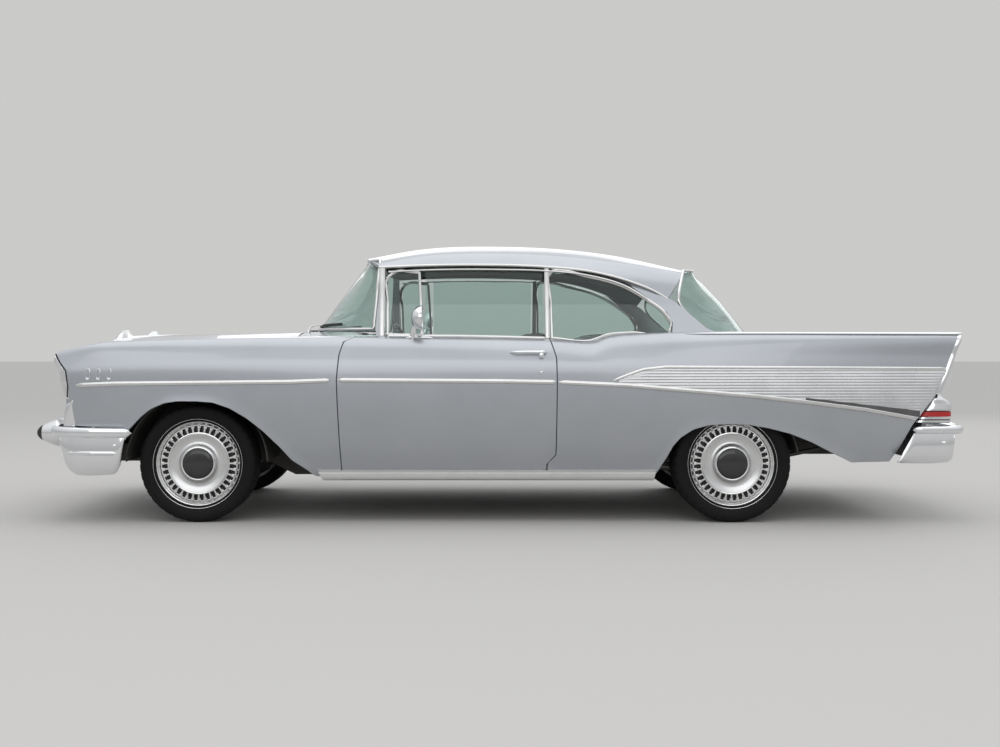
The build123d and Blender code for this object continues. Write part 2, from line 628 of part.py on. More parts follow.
def front_suspension():
    """Lower and upper arms with the coil spring between them, one side."""
    y0 = RAIL_OUTER + SEAT_GAP
    pin = TRACK_FRONT / 2 - KINGPIN_OFFSET
    lower = plan_prism(((-108, y0), (108, y0), (34, pin), (-34, pin)), 222, 248)
    upper = plan_prism(((-86, y0), (86, y0), (28, pin), (-28, pin)), 452, 474)
    coil = Pos(0, y0 + 62, 350) * Cylinder(52, 206)
    post = Pos(0, pin, 340) * Cylinder(POST_RADIUS + SEAT_GAP, 400)
    return (lower + [upper, coil]) - post


def hub_face(track):
    """Distance of a wheel's mounting face from the centre plane."""
    return track / 2 + RIM_WIDTH / 2 - 60


def knuckle():
    """Steering knuckle with its post, arm and brake drum, one side."""
    pin = TRACK_FRONT / 2 - KINGPIN_OFFSET
    face = hub_face(TRACK_FRONT) - SEAT_GAP
    post = Pos(0, pin, 349) * Cylinder(POST_RADIUS, 264)
    spindle = rod((0, pin, AXLE_HEIGHT), (0, face, AXLE_HEIGHT), 36)
    drum = rod((0, face - 72, AXLE_HEIGHT), (0, face, AXLE_HEIGHT), DRUM_RADIUS)
    hub = rod((0, face, AXLE_HEIGHT), (0, face + 40, AXLE_HEIGHT), HUB_BORE - 1.0)
    arm = block(0, 140, pin - 14, pin + 14, 292, 312)
    return post + [spindle, drum, hub, arm]


def rear_axle():
    """Banjo housing, axle tubes and brake drums."""
    face = hub_face(TRACK_REAR) - SEAT_GAP
    tube = rod((WHEELBASE, -face + 60, AXLE_HEIGHT), (WHEELBASE, face - 60, AXLE_HEIGHT), 38)
    banjo = rod((WHEELBASE - 84, 0, AXLE_HEIGHT), (WHEELBASE + 76, 0, AXLE_HEIGHT), 122)
    nose = rod((WHEELBASE - 220, 0, AXLE_HEIGHT), (WHEELBASE, 0, AXLE_HEIGHT), 48)
    ends = []
    for s in (-1, 1):
        ends.append(rod((WHEELBASE, s * (face - 76), AXLE_HEIGHT), (WHEELBASE, s * face, AXLE_HEIGHT),
                        DRUM_RADIUS))
        ends.append(rod((WHEELBASE, s * face, AXLE_HEIGHT), (WHEELBASE, s * (face + 40), AXLE_HEIGHT),
                        HUB_BORE - 1.0))
    return tube + [banjo, nose] + ends


def leaf_spring():
    """Leaf pack under the rear axle with its hangers on the rail, one side."""
    y0, y1 = RAIL_OUTER + SEAT_GAP + 24, RAIL_OUTER + SEAT_GAP + 84
    top = AXLE_HEIGHT - 38 - SEAT_GAP
    leaf = side_prism(((REAR - 671, 300), (REAR - 61, top - 22), (REAR + 59, top - 22),
                       (REAR + 679, 390), (REAR + 679, 408),
                       (REAR + 179, top + 22), (REAR + 79, top), (REAR - 81, top),
                       (REAR - 671, 318)), y0, y1)
    front = block(REAR - 685, REAR - 631, RAIL_OUTER + SEAT_GAP, y1 + 6, 280, 330)
    rear = block(REAR + 639, REAR + 689, RAIL_OUTER + SEAT_GAP, y1 + 6, 376, 470)
    return leaf + front + rear


def engine():
    """Engine mass as one plain block with its two mounts on the rails."""
    mass = block(80, 690, -250, 250, 330, 850)
    mounts = [block(330, 400, -RAIL_OUTER, -240, 402, 450), block(330, 400, 240, RAIL_OUTER, 402, 450)]
    return mass + mounts


def driveline():
    """Gearbox and propeller shaft."""
    gearbox = block(690.3, 1180, -92, 92, 285, 425)
    shaft = rod((1170, 0, AXLE_HEIGHT), (WHEELBASE - 220.3, 0, AXLE_HEIGHT), 36)
    mount = block(900, 960, -60, 60, 280.3, 300)
    return gearbox + [shaft, mount]


def radiator_support():
    """Radiator core and its carrier panel between the fenders."""
    panel = block(-520, -504, -600, 600, 400.3, 900)
    hole = block(-530, -490, -290, 290, 440, 860)
    core = block(-530, -470, -300, 300, 436, 864)
    ears = both_sides(block(-520, -504, 590, 690, 700, 880) + block(-520, -504, 662, 690, 860, 990))
    return (panel - hole) + [core] + ears


def exhaust():
    """Two pipes with mufflers and tail pipes."""
    shapes = []
    for s in (-1, 1):
        y = s * 290.0
        shapes.append(rod((640, y, EXHAUST_Z), (1900, y, EXHAUST_Z), PIPE_RADIUS)
                      + [rod((1880, y, EXHAUST_Z), (REAR - 591, y, EXHAUST_Z), 58),
                         rod((REAR - 611, y, EXHAUST_Z), (REAR - 361, y, EXHAUST_Z), PIPE_RADIUS),
                         rod((REAR - 371, y, EXHAUST_Z), (REAR - 131, y, 246), PIPE_RADIUS),
                         rod((REAR - 141, y, 246), (REAR + 339, y, 246), PIPE_RADIUS)])
    return shapes


def fuel_tank():
    """Flat fuel tank under the trunk floor."""
    return block(REAR + 369, REAR + 879, -330, 330, 330, TRUNK_FLOOR - SEAT_GAP)


# ---------------------------------------------------------------- front and rear ends
def blade(end_x, end_y, turn, corner, nose, middle, t, z0, z1):
    """Bumper blade seen from above: side arm, corner arc and bowed face, with thickness t."""
    s = 1 if middle > end_x else -1
    outer = [
        Line((end_x, end_y), turn),
        ThreePointArc(turn, corner, nose),
        ThreePointArc(nose, (middle, 0), (nose[0], -nose[1])),
        ThreePointArc((nose[0], -nose[1]), (corner[0], -corner[1]), (turn[0], -turn[1])),
        Line((turn[0], -turn[1]), (end_x, -end_y)),
        Line((end_x, -end_y), (end_x, t - end_y)),
        Line((end_x, t - end_y), (turn[0], t - turn[1])),
        ThreePointArc((turn[0], t - turn[1]), (corner[0] - s * t * 0.7, 0.7 * t - corner[1]),
                      (nose[0] - s * t, t - nose[1])),
        ThreePointArc((nose[0] - s * t, t - nose[1]), (middle - s * t, 0),
                      (nose[0] - s * t, nose[1] - t)),
        ThreePointArc((nose[0] - s * t, nose[1] - t), (corner[0] - s * t * 0.7, corner[1] - 0.7 * t),
                      (turn[0], turn[1] - t)),
        Line((turn[0], turn[1] - t), (end_x, end_y - t)),
        Line((end_x, end_y - t), (end_x, end_y)),
    ]
    return Pos(0, 0, z0) * extrude(make_face(outer), amount=z1 - z0)


FRONT_BLADE_SIDE = ((-357, 493), (-392, 515), (-697, 521), (-860, 512), (-880, 480), (-876, 400),
                    (-836, 330), (-683, 292), (-643, 264), (-436, 273), (-405, 313), (-378, 457))
REAR_BLADE_SIDE = ((REAR + 903, 328), (REAR + 980, 520), (REAR + 1174, 532), (REAR + 1245, 538),
                   (REAR + 1268, 516), (REAR + 1262, 464),
                   (REAR + 1233, 446), (REAR + 1191, 428), (REAR + 1179, 352), (REAR + 1080, 328))


def front_bumper():
    """Wrap-round front blade with its two bullet guards."""
    bar = blade(-350, 914, (-600, 908), (-776, 838), (-828, 640), -866, 26, 250, 530)
    bar = bar & side_prism(FRONT_BLADE_SIDE, -950, 950)
    bullets = []
    for s in (-1, 1):
        bullets.append(nose_turn(((-972, 0), (-966, 22), (-932, 47), (-878, 70), (-812, 80), (-812, 0)),
                                 s * BULLET_Y, BULLET_Z))
    irons = [block(-835, -700, s * 400 - 30, s * 400 + 30, 310, 390) for s in (-1, 1)]
    return bar + bullets + irons


def rear_bumper():
    """Wrap-round rear blade."""
    bar = blade(REAR + 899, 908, (REAR + 1119, 900), (REAR + 1209, 852),
                (REAR + 1239, 720), REAR + 1268, 26, 300, 545)
    bar = bar & side_prism(REAR_BLADE_SIDE, -950, 950)
    irons = [block(REAR + 999.3, REAR + 1249, s * 400 - 30, s * 400 + 30, 450, 490) for s in (-1, 1)]
    return bar + irons


def grille():
    """Grille bars in the mouth between bumper and hood."""
    bars = [block(-742, -722, -610, 610, z, z + 10) for z in range(556, 800, 34)]
    posts = [block(-738, -726, y - 6, y + 6, 545, 815) for y in range(-600, 601, 100)]
    main_bar = block(-772, -730, -606, 606, 655, 700)
    lip = block(-750, -700, -611.5, 611.5, 815, 845)
    foot = block(-806, -700, -611.5, 611.5, 522.3, 548)
    return bars[0] + bars[1:] + posts + [main_bar, lip, foot]


def headlamps():
    """Bezel with its hooded brow, reflector bucket and lens, one side."""
    ring = nose_turn(((-815, LAMP_HOLE - 2), (-815, LAMP_HOLE + 11), (-700, LAMP_HOLE + 11),
                      (-700, LAMP_HOLE - 2)), LAMP_Y, LAMP_Z)
    brow = side_prism(((-811, 905), (-767, 850), (-749, 823), (-742, 704), (-721, 676), (-708, 660),
                       (-708, 912)), 500, 1000)
    lens = nose_turn(((-760, 0), (-748, 60), (-728, LAMP_HOLE - 0.5), (-650, LAMP_HOLE - 0.5), (-600, 40),
                      (-600, 0)), LAMP_Y, LAMP_Z)
    return (ring & brow) + lens


def tail_lamp():
    """Lamp housing at the foot of the fin, one side."""
    outline = ((REAR + 978, 543), (REAR + 1095, 706), (REAR + 1119, 700), (REAR + 1185, 651),
               (REAR + 1187, 580), (REAR + 1181, 543))
    return side_prism(outline, 770 + SEAT_GAP, 878)


def tail_panel():
    """Rear face between the quarters, under and beside the trunk lid."""
    low = side_prism(((REAR + 1039, 340), (REAR + 1109, 650), (REAR + 1085, 650),
                      (REAR + 1015, 340)), -770, 770)
    cheeks = both_sides(side_prism(((REAR + 1069, 640), (REAR + 1093, 640), (REAR + 1115, 870),
                                    (REAR + 1091, 870)), 640, 770))
    irons = [block(REAR + 879, REAR + 1279, side * 400 - 31, side * 400 + 31, 449, 491)
             for side in (-1, 1)]
    pad = block(REAR + 1069, PLATE_FACE, -110, 110, PLATE_HOLE_Z - 40, PLATE_HOLE_Z + 30)
    holes = [rod((PLATE_FACE - 18, side * PLATE_HOLE_SPACING / 2, PLATE_HOLE_Z),
                 (PLATE_FACE + 1, side * PLATE_HOLE_SPACING / 2, PLATE_HOLE_Z), PLATE_HOLE_RADIUS)
             for side in (-1, 1)]
    return (low + cheeks + [pad]) - irons - holes


def rear_deck():
    """Panel between the rear window and the trunk lid, carried on into the parcel shelf."""
    plan = ((REAR - 221, 716), (REAR - 61, 700), (REAR + 223, 636), (REAR + 223, -636),
            (REAR - 61, -700), (REAR - 221, -716))
    slab = plan_prism(plan, 980, 1060)
    crown = front_prism(((-760, 985), (-760, 1011), (-400, 1036), (0, 1044), (400, 1036), (760, 1011),
                         (760, 985), (400, 1010), (0, 1018), (-400, 1010)), REAR - 231, REAR + 279)
    pads = both_sides(block(REAR + 199, REAR + 279, 300, 340, 985, 1030))
    lid = trunk_lid()
    pads = [biggest(pad - Pos(0, 0, -SEAT_GAP) * lid - lid) for pad in pads]
    return (slab & crown) + pads


# ---------------------------------------------------------------- cabin
def dashboard():
    """Dashboard with its hooded instrument pod."""
    body = side_prism(((826, 800), (826, 968), (900, 968), (985, 985), (1000, 960), (985, 860),
                       (960, 800)), -590, 590)
    pod = side_prism(((860, 960), (880, 1030), (980, 1034), (990, 975)), -560, -200)
    return (body + pod) - rod(COLUMN_FOOT, COLUMN_HEAD, 24 + SEAT_GAP)


def tunnel_room():
    """Space that the floor tunnel takes under the seats."""
    half = TUNNEL_HALF + 10 + SEAT_GAP
    return block(1000, REAR - 421, -half, half, 300, TUNNEL_TOP + 10 + SEAT_GAP)


def front_seat():
    """Front bench with its leaning back."""
    base = side_prism(((1180, 349), (1180, 560), (1230, 610), (1700, 580), (1760, 349)), -650, 650)
    back = side_prism(((1690, 560), (1800, 1060), (1850, 1080), (1960, 1060), (1880, 560)), -650, 650)
    return (base + back) - tunnel_room()


def rear_seat():
    """Rear bench."""
    base = side_prism(((REAR - 661, 349), (REAR - 661, 600), (REAR - 601, 640), (REAR - 221, 600),
                       (REAR - 221, 514.3), (REAR - 441, 514.3),
                       (REAR - 551, 360), (REAR - 559, 349)), -WELL_INNER, WELL_INNER)
    back = side_prism(((REAR - 281, 590), (REAR - 141, 970), (REAR - 101, 975), (REAR - 41, 960),
                       (REAR - 151, 514.3), (REAR - 231, 514.3)),
                      -WELL_INNER, WELL_INNER)
    return (base + back) - tunnel_room()


def steering_column():
    """Fixed column tube from the firewall to the wheel."""
    return rod(COLUMN_FOOT, COLUMN_HEAD, 24) - side_prism(((700, 600), (700, 1100), (816.3, 1100),
                                                           (816.3, 600)), -500, -200)


def steering_wheel():
    """Rim, three spokes and boss on the column's end."""
    head, foot = Vector(*COLUMN_HEAD), Vector(*COLUMN_FOOT)
    direction = (head - foot).normalized()
    plane = Plane(origin=head + direction * 1.0, x_dir=(0, 1, 0), z_dir=direction)
    rim_ring = Pos(0, 0, 26) * Torus(STEERING_RADIUS - STEERING_GRIP, STEERING_GRIP)
    boss = Pos(0, 0, 20) * Cylinder(34, 40)
    reach = STEERING_RADIUS - STEERING_GRIP
    spokes = [Rot(0, 0, a) * Pos(reach / 2, 0, 22) * Box(reach, 26, 9) for a in (0, 180, 270)]
    return plane * (boss + [rim_ring] + spokes)


# ---------------------------------------------------------------- bright trim
SPEAR_LINE = ((-657, 750), (-454, 759), (518, 770), (772, 780), (1650, 774), (1959, 769),
              (REAR - 584, 752),
              (REAR - 241, 723), (REAR + 103, 693), (REAR + 378, 662), (REAR + 704, 620),
              (REAR + 996, 568))
SPEAR_HALF = 14.0


def strip_outline(line, half, x0, x1):
    """Outline of a moulding between two stations, following its centre line."""
    points = [p for p in line if x0 < p[0] < x1]
    ends = []
    for x in (x0, x1):
        for (xa, za), (xb, zb) in zip(line, line[1:]):
            if xa <= x <= xb:
                ends.append((x, za + (zb - za) * (x - xa) / (xb - xa)))
                break
    points = [ends[0]] + points + [ends[-1]]
    return tuple((x, z + half) for x, z in points) + tuple((x, z - half) for x, z in reversed(points))


def moulding(rows, outline, panel):
    """Moulding that stands proud of a panel inside a side-view outline."""
    band = Solid.make_loft([wall_wire(row, -TRIM_THICKNESS, MOULDING_ROOT) for row in rows])
    return biggest((band & side_prism(outline, 700, 1000)) - panel)


def fender_spear(panel):
    """Spear moulding of the fender."""
    return moulding(FENDER_ROWS, strip_outline(SPEAR_LINE, SPEAR_HALF, -650, 755), panel)


def door_spear(panel):
    """Spear moulding on the door."""
    return moulding(DOOR_ROWS, strip_outline(SPEAR_LINE, SPEAR_HALF, 774, 1953), panel)


def quarter_trim(panel):
    """Two diverging mouldings with the fluted panel between them."""
    outline = ((1975, 783), (1975, 755), (REAR - 584, 738), (REAR - 241, 709), (REAR + 103, 679),
               (REAR + 378, 648), (REAR + 704, 606),
               (REAR + 984, 556), (REAR + 1014, 600), (REAR + 1107, 832), (REAR + 1111, 852),
               (REAR - 377, 861), (REAR - 497, 848), (REAR - 583, 818),
               (REAR - 669, 784))
    return moulding(QUARTER_ROWS, outline, panel)


def rocker_trim():
    """Bright rocker moulding under the door, one side."""
    outline = ((652, 284), (REAR - 416, 286), (REAR - 433, 252), (690, 248))
    return side_prism(outline, 848 + SEAT_GAP, 858)


def main():
    """Build and write every node."""
    os.makedirs("parts", exist_ok=True)
    for old in os.listdir("parts"):
        os.remove(os.path.join("parts", old))
    roof_cut = roof(SEAT_GAP)
    quarter_right = quarter()
    shield = biggest(windshield() - roof_cut)
    backlight = biggest(rear_window() - roof_cut)
    cowl = cowl_and_firewall()
    shield = biggest(shield - cowl)
    deck = rear_deck()
    backlight = biggest(backlight - deck)
    a_post = biggest(a_pillar(roof_cut, shield) - roof() - cowl)
    c_post = biggest(c_pillar(roof_cut, backlight, quarter_right) - roof())
    save("roof", roof())
    save("windshield", shield)
    save("rear_window", backlight)
    save("firewall_cowl", cowl)
    save("rear_deck", deck)
    save("window_pillars", *both_sides(a_post), *both_sides(c_post))
    fender_right = fender()
    door_right = door()
    panes = [biggest(pane - door_right) for pane in door_glass()]
    frame = biggest(door_window_frame() - door_right)
    spear = door_spear(door_right)
    side_pane = leaned(QUARTER_PANE, 6, GLASS_THICKNESS)
    side_pane = biggest(side_pane - quarter_right - c_post - roof_cut)
    pairs = (
        ("front_fender", [fender_right]), ("quarter_panel", [quarter_right]), ("door", [door_right]),
        ("door_glass", panes),
        ("door_trim", [spear, frame]),
    )
    for name, shapes in pairs:
        save(name + "_right", *shapes)
        save(name + "_left", *[left(shape) for shape in shapes])
    save("hood", hood())
    save("trunk_lid", trunk_lid())
    save("quarter_glass", *both_sides(side_pane))
    side = []
    for piece in (fender_spear(fender_right), quarter_trim(quarter_right), rocker_trim()):
        side += both_sides(piece)
    save("side_trim", *side)
    save("floor_pan", floor_pan())
    save("wheelhouses", *both_sides(wheelhouse()))
    save("chassis_frame", chassis_frame())
    save("front_suspension", *both_sides(front_suspension()))
    knuckle_right = knuckle()
    save("knuckle_right", knuckle_right)
    save("knuckle_left", left(knuckle_right))
    save("rear_axle", rear_axle())
    save("rear_springs", *both_sides(leaf_spring()))
    save("engine", engine())
    save("driveline", driveline())
    save("radiator_support", biggest(radiator_support() - fender_right - left(fender_right)))
    save("exhaust", *exhaust())
    save("fuel_tank", fuel_tank())
    save("front_bumper", front_bumper())
    save("rear_bumper", rear_bumper())
    save("grille", grille())
    save("headlamps", *both_sides(biggest(headlamps() - fender_right)))
    save("tail_lamps", *both_sides(biggest(tail_lamp() - quarter_right)))
    save("tail_panel", tail_panel())
    save("dashboard", dashboard())
    save("front_seat", front_seat())
    save("rear_seat", rear_seat())
    save("steering_column", steering_column())
    save("steering_wheel", steering_wheel())
    for place, x, track in (("front", 0.0, TRACK_FRONT), ("rear", WHEELBASE, TRACK_REAR)):
        seat = Pos(x, 0, AXLE_HEIGHT)
        rubber = seat * tyre(track / 2)
        metal = seat * rim(track / 2)
        save("tyre_%s_right" % place, rubber)
        save("tyre_%s_left" % place, left(rubber))
        save("rim_%s_right" % place, metal)
        save("rim_%s_left" % place, left(metal))


main()
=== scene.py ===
"""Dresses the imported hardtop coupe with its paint, brightwork, glass, wheels and cabin.

Stations are millimetres behind the front axle, heights are millimetres above the road and
half-widths are millimetres from the centre plane, until a piece is made, when they become metres.
"""

from __future__ import annotations

import logging
import math
from dataclasses import dataclass, field
from enum import Enum
from typing import Sequence

import bmesh
import bpy
import numpy as np
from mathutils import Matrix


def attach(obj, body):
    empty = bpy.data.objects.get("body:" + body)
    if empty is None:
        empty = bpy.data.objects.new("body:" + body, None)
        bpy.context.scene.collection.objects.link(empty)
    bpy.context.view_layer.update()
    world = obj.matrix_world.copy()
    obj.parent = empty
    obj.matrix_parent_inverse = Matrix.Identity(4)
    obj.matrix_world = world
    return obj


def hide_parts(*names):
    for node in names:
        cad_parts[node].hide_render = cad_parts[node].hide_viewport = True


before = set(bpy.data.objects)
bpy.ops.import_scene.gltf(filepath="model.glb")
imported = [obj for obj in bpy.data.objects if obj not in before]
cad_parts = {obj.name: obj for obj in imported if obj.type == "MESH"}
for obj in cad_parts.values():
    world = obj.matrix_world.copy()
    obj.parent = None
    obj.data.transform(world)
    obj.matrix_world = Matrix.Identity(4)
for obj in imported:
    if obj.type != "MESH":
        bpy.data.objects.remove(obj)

log = logging.getLogger("coupe")

FRONT_AXLE = -1.6085
WHEELBASE = 2921.0
AXLE_HEIGHT = 320.0
TRACK_FRONT = 1474.0
TRACK_REAR = 1494.0
Array = np.ndarray
Line = Sequence[tuple[float, float]]
Table = tuple[tuple[float, ...], ...]


class Slot(Enum):
    """Material slots of the record."""

    PAINT = "paint"
    CHROME = "chrome"
    GLASS = "glass"
    BLACK_STEEL = "black_steel"
    IRON = "iron"
    SPRING = "spring_steel"
    BARE = "bare_steel"
    GRILLE = "grille_metal"
    LAMP = "lamp_glass"
    RED = "red_lens"
    DASH = "dash_plastic"
    WHEEL_PLASTIC = "wheel_plastic"
    UPHOLSTERY = "upholstery"
    TYRE = "tyre"
    ALLOY = "alloy"


class Side(Enum):
    """Sides of the car, with the sign of their half-widths."""

    RIGHT = 1
    LEFT = -1

    @property
    def tag(self) -> str:
        """The side as the nodes spell it."""
        return self.name.lower()


class End(Enum):
    """Ends of the car, with the direction in which each looks."""

    FRONT = -1
    REAR = 1


class Axis(Enum):
    """Axes that a profile is turned about."""

    X = "x"
    Y = "y"
    Z = "z"


class Coords(Enum):
    """Where a finish takes its pattern from."""

    OBJECT = "Object"
    UV = "UV"


# ------------------------------------------------------------------ shader groups and finishes
def new_group(name: str, inputs: Sequence[tuple[str, str, object]],
              outputs: Sequence[tuple[str, str]]) -> bpy.types.NodeTree:
    """Empty shader group with named sockets.

    Args:
        name: name of the group.
        inputs: socket name, socket type and default of each input.
        outputs: socket name and socket type of each output.

    Returns:
        The node tree, with its Group Input and Group Output nodes placed.
    """
    tree = bpy.data.node_groups.new(name, "ShaderNodeTree")
    for label, kind, default in inputs:
        socket = tree.interface.new_socket(label, in_out="INPUT", socket_type=kind)
        if default is not None:
            socket.default_value = default
    for label, kind in outputs:
        tree.interface.new_socket(label, in_out="OUTPUT", socket_type=kind)
    tree.nodes.new("NodeGroupInput").name = "in"
    tree.nodes.new("NodeGroupOutput").name = "out"
    return tree


NodeTable = dict[str, tuple[str, dict[str, object]]]


def plant(tree: bpy.types.NodeTree, table: NodeTable, wires: Sequence[str]) -> None:
    """Adds named nodes to a tree and links them.

    Args:
        tree: the tree to fill.
        table: type and values of each node; a lower-case key is a setting of the node itself,
            any other key is an input.
        wires: links such as "noise:Fac > ramp:Value".
    """
    for name, (kind, values) in table.items():
        node = tree.nodes.new("ShaderNode" + kind)
        node.name = name
        for key, value in values.items():
            if key.islower():
                setattr(node, key, value)
            else:
                node.inputs[key].default_value = value
    for wire in wires:
        (source, output), (target, socket) = (end.split(":") for end in wire.split(" > "))
        tree.links.new(tree.nodes[source].outputs[output],
                       tree.nodes[target].inputs[int(socket) if socket.isdigit() else socket])


class Effects:
    """Shader groups that several finishes share, each built once."""

    def __init__(self) -> None:
        """Builds every group."""
        self.mottle = self._mottle()
        self.grain = self._grain()
        self.road_film = self._road_film()

    @staticmethod
    def _mottle() -> bpy.types.NodeTree:
        """Two colours mixed by soft noise, with the mask and a roughness that follows it.

        Returns:
            The group.
        """
        tree = new_group("mottle", [("Vector", "NodeSocketVector", None),
                                    ("Scale", "NodeSocketFloat", 8.0),
                                    ("Color A", "NodeSocketColor", (.5, .5, .5, 1)),
                                    ("Color B", "NodeSocketColor", (.5, .5, .5, 1)),
                                    ("Rough A", "NodeSocketFloat", .4),
                                    ("Rough B", "NodeSocketFloat", .5)],
                         [("Color", "NodeSocketColor"), ("Mask", "NodeSocketFloat"),
                          ("Roughness", "NodeSocketFloat")])
        plant(tree, {"noise": ("TexNoise", {"Detail": 6.0, "Roughness": .62}),
                     "ramp": ("MapRange", {"From Min": .32, "From Max": .68}),
                     "mix": ("Mix", {"data_type": "RGBA"}),
                     "rough": ("Mix", {})},
              ("in:Vector > noise:Vector", "in:Scale > noise:Scale", "noise:Fac > ramp:Value",
               "ramp:Result > mix:Factor", "ramp:Result > rough:Factor", "in:Color A > mix:A",
               "in:Color B > mix:B", "in:Rough A > rough:A", "in:Rough B > rough:B",
               "mix:Result > out:Color", "ramp:Result > out:Mask", "rough:Result > out:Roughness"))
        return tree

    @staticmethod
    def _grain() -> bpy.types.NodeTree:
        """Fine height noise turned into a normal.

        Returns:
            The group.
        """
        tree = new_group("grain", [("Vector", "NodeSocketVector", None),
                                   ("Scale", "NodeSocketFloat", 400.0),
                                   ("Depth", "NodeSocketFloat", .1)],
                         [("Normal", "NodeSocketVector")])
        plant(tree, {"noise": ("TexNoise", {"Detail": 3.0}),
                     "bump": ("Bump", {"Distance": .001})},
              ("in:Vector > noise:Vector", "in:Scale > noise:Scale", "in:Depth > bump:Strength",
               "noise:Fac > bump:Height", "bump:Normal > out:Normal"))
        return tree

    @staticmethod
    def _road_film() -> bpy.types.NodeTree:
        """Dust laid over a colour near the road, broken by noise and gone above Top.

        Returns:
            The group.
        """
        tree = new_group("road_film", [("Vector", "NodeSocketVector", None),
                                       ("Color", "NodeSocketColor", (.5, .5, .5, 1)),
                                       ("Dust", "NodeSocketColor", (.32, .29, .26, 1)),
                                       ("Top", "NodeSocketFloat", .5),
                                       ("Amount", "NodeSocketFloat", .2)],
                         [("Color", "NodeSocketColor"), ("Mask", "NodeSocketFloat")])
        plant(tree, {"split": ("SeparateXYZ", {}),
                     "fade": ("MapRange", {"From Min": .05, "To Min": 1.0, "To Max": 0.0}),
                     "noise": ("TexNoise", {"Scale": 9.0, "Detail": 5.0}),
                     "product": ("Math", {"operation": "MULTIPLY"}),
                     "scaled": ("Math", {"operation": "MULTIPLY"}),
                     "mix": ("Mix", {"data_type": "RGBA"})},
              ("in:Vector > split:Vector", "in:Vector > noise:Vector", "split:Z > fade:Value",
               "in:Top > fade:From Max", "fade:Result > product:0", "noise:Fac > product:1",
               "product:Value > scaled:0", "in:Amount > scaled:1", "scaled:Value > mix:Factor",
               "in:Color > mix:A", "in:Dust > mix:B", "mix:Result > out:Color",
               "scaled:Value > out:Mask"))
        return tree


Colour = tuple[float, float, float]


@dataclass(frozen=True)
class Finish:
    """One finish: its two colours, gloss, grain and what else the shader needs."""

    name: str
    slot: Slot
    colour: Colour
    second: Colour
    rough: tuple[float, float] = (.4, .5)
    metallic: float = 0.0
    scale: float = 6.0
    grain_scale: float = 500.0
    grain_depth: float = .05
    coat: float = 0.0
    coat_rough: float = .03
    transmission: float = 0.0
    ior: float = 1.5
    dust: float = 0.0
    dust_top: float = .5
    stretch: tuple[float, float, float] = (1.0, 1.0, 1.0)
    coords: Coords = Coords.OBJECT

    def material(self) -> bpy.types.Material:
        """The finish's material, built at its first use."""
        found = bpy.data.materials.get(self.name)
        return found if found else self._build()

    def _build(self) -> bpy.types.Material:
        """Builds mottle, road film and grain in front of one Principled shader.

        Returns:
            The new material.
        """
        material = bpy.data.materials.new(self.name)
        material.use_nodes = True
        shader = material.node_tree.nodes["Principled BSDF"]
        for key, value in (("Metallic", self.metallic), ("IOR", self.ior), ("Coat Weight", self.coat),
                           ("Coat Roughness", self.coat_rough),
                           ("Transmission Weight", self.transmission)):
            shader.inputs[key].default_value = value
        table: NodeTable = {
            "place": ("TexCoord", {}),
            "mapping": ("Mapping", {"Scale": self.stretch}),
            "mottle": ("Group", {"node_tree": EFFECTS.mottle, "Scale": self.scale,
                                 "Color A": (*self.colour, 1), "Color B": (*self.second, 1),
                                 "Rough A": self.rough[0], "Rough B": self.rough[1]})}
        wires = [f"place:{self.coords.value} > mapping:Vector", "mapping:Vector > mottle:Vector",
                 "mottle:Roughness > Principled BSDF:Roughness"]
        colour = "mottle:Color"
        if self.dust > 0:
            table["film"] = ("Group", {"node_tree": EFFECTS.road_film, "Top": self.dust_top,
                                       "Amount": self.dust})
            wires += ["place:Object > film:Vector", "mottle:Color > film:Color"]
            colour = "film:Color"
        wires.append(colour + " > Principled BSDF:Base Color")
        if self.grain_depth > 0:
            table["grain"] = ("Group", {"node_tree": EFFECTS.grain, "Scale": self.grain_scale,
                                        "Depth": self.grain_depth})
            wires += ["mapping:Vector > grain:Vector", "grain:Normal > Principled BSDF:Normal"]
        plant(material.node_tree, table, wires)
        return material


EFFECTS = Effects()

SILVER = Finish("silver_paint", Slot.PAINT, (.40, .42, .45), (.43, .45, .48), (.30, .34), .72, 3.0,
                1500.0, .05, 1.0, .03, dust=.12, dust_top=.42)
UNDERSIDE = Finish("underbody_black", Slot.BLACK_STEEL, (.022, .021, .02), (.045, .042, .038),
                   (.6, .8), 0.0, 14.0, 260.0, .25, dust=.25, dust_top=.5)
CHROME = Finish("bumper_chrome", Slot.CHROME, (.78, .79, .80), (.82, .83, .84), (.045, .09), 1.0,
                5.0, 900.0, .008)
STAINLESS = Finish("polished_stainless", Slot.CHROME, (.66, .66, .65), (.72, .72, .71), (.14, .22),
                   1.0, 7.0, 700.0, .02)
FLUTED = Finish("fluted_aluminium", Slot.CHROME, (.62, .63, .64), (.70, .71, .72), (.28, .38), 1.0,
                9.0, 600.0, .04)
GLAZING = Finish("green_tint_glass", Slot.GLASS, (.70, .82, .78), (.70, .82, .78), (.0, .0), 0.0,
                 3.0, 100.0, 0.0, transmission=1.0, ior=1.45)
LAMP_GLASS = Finish("lamp_lens_glass", Slot.LAMP, (.93, .94, .95), (.93, .94, .95), (.02, .03), 0.0,
                    3.0, 100.0, 0.0, transmission=1.0, ior=1.45)
RED_LENS = Finish("red_lens", Slot.RED, (.055, .003, .003), (.075, .005, .004), (.08, .12), 0.0, 12.0,
                  300.0, .02, .6)
RUBBER = Finish("tyre_rubber", Slot.TYRE, (.005, .005, .005), (.008, .008, .008), (.72, .84), 0.0,
                22.0, 800.0, .18, ior=1.3, dust=.02, dust_top=.3)
# Black rubber for wiper blades, bullet noses, pedals and tail lamp seals, and painted shade for the
# headlamp gaps and the cowl's intake slots.
BLACK_RUBBER_AND_SHADE = Finish("seal_rubber", Slot.BLACK_STEEL, (.01, .01, .01), (.016, .016, .016),
                      (.5, .62), 0.0, 30.0, 700.0, .1)
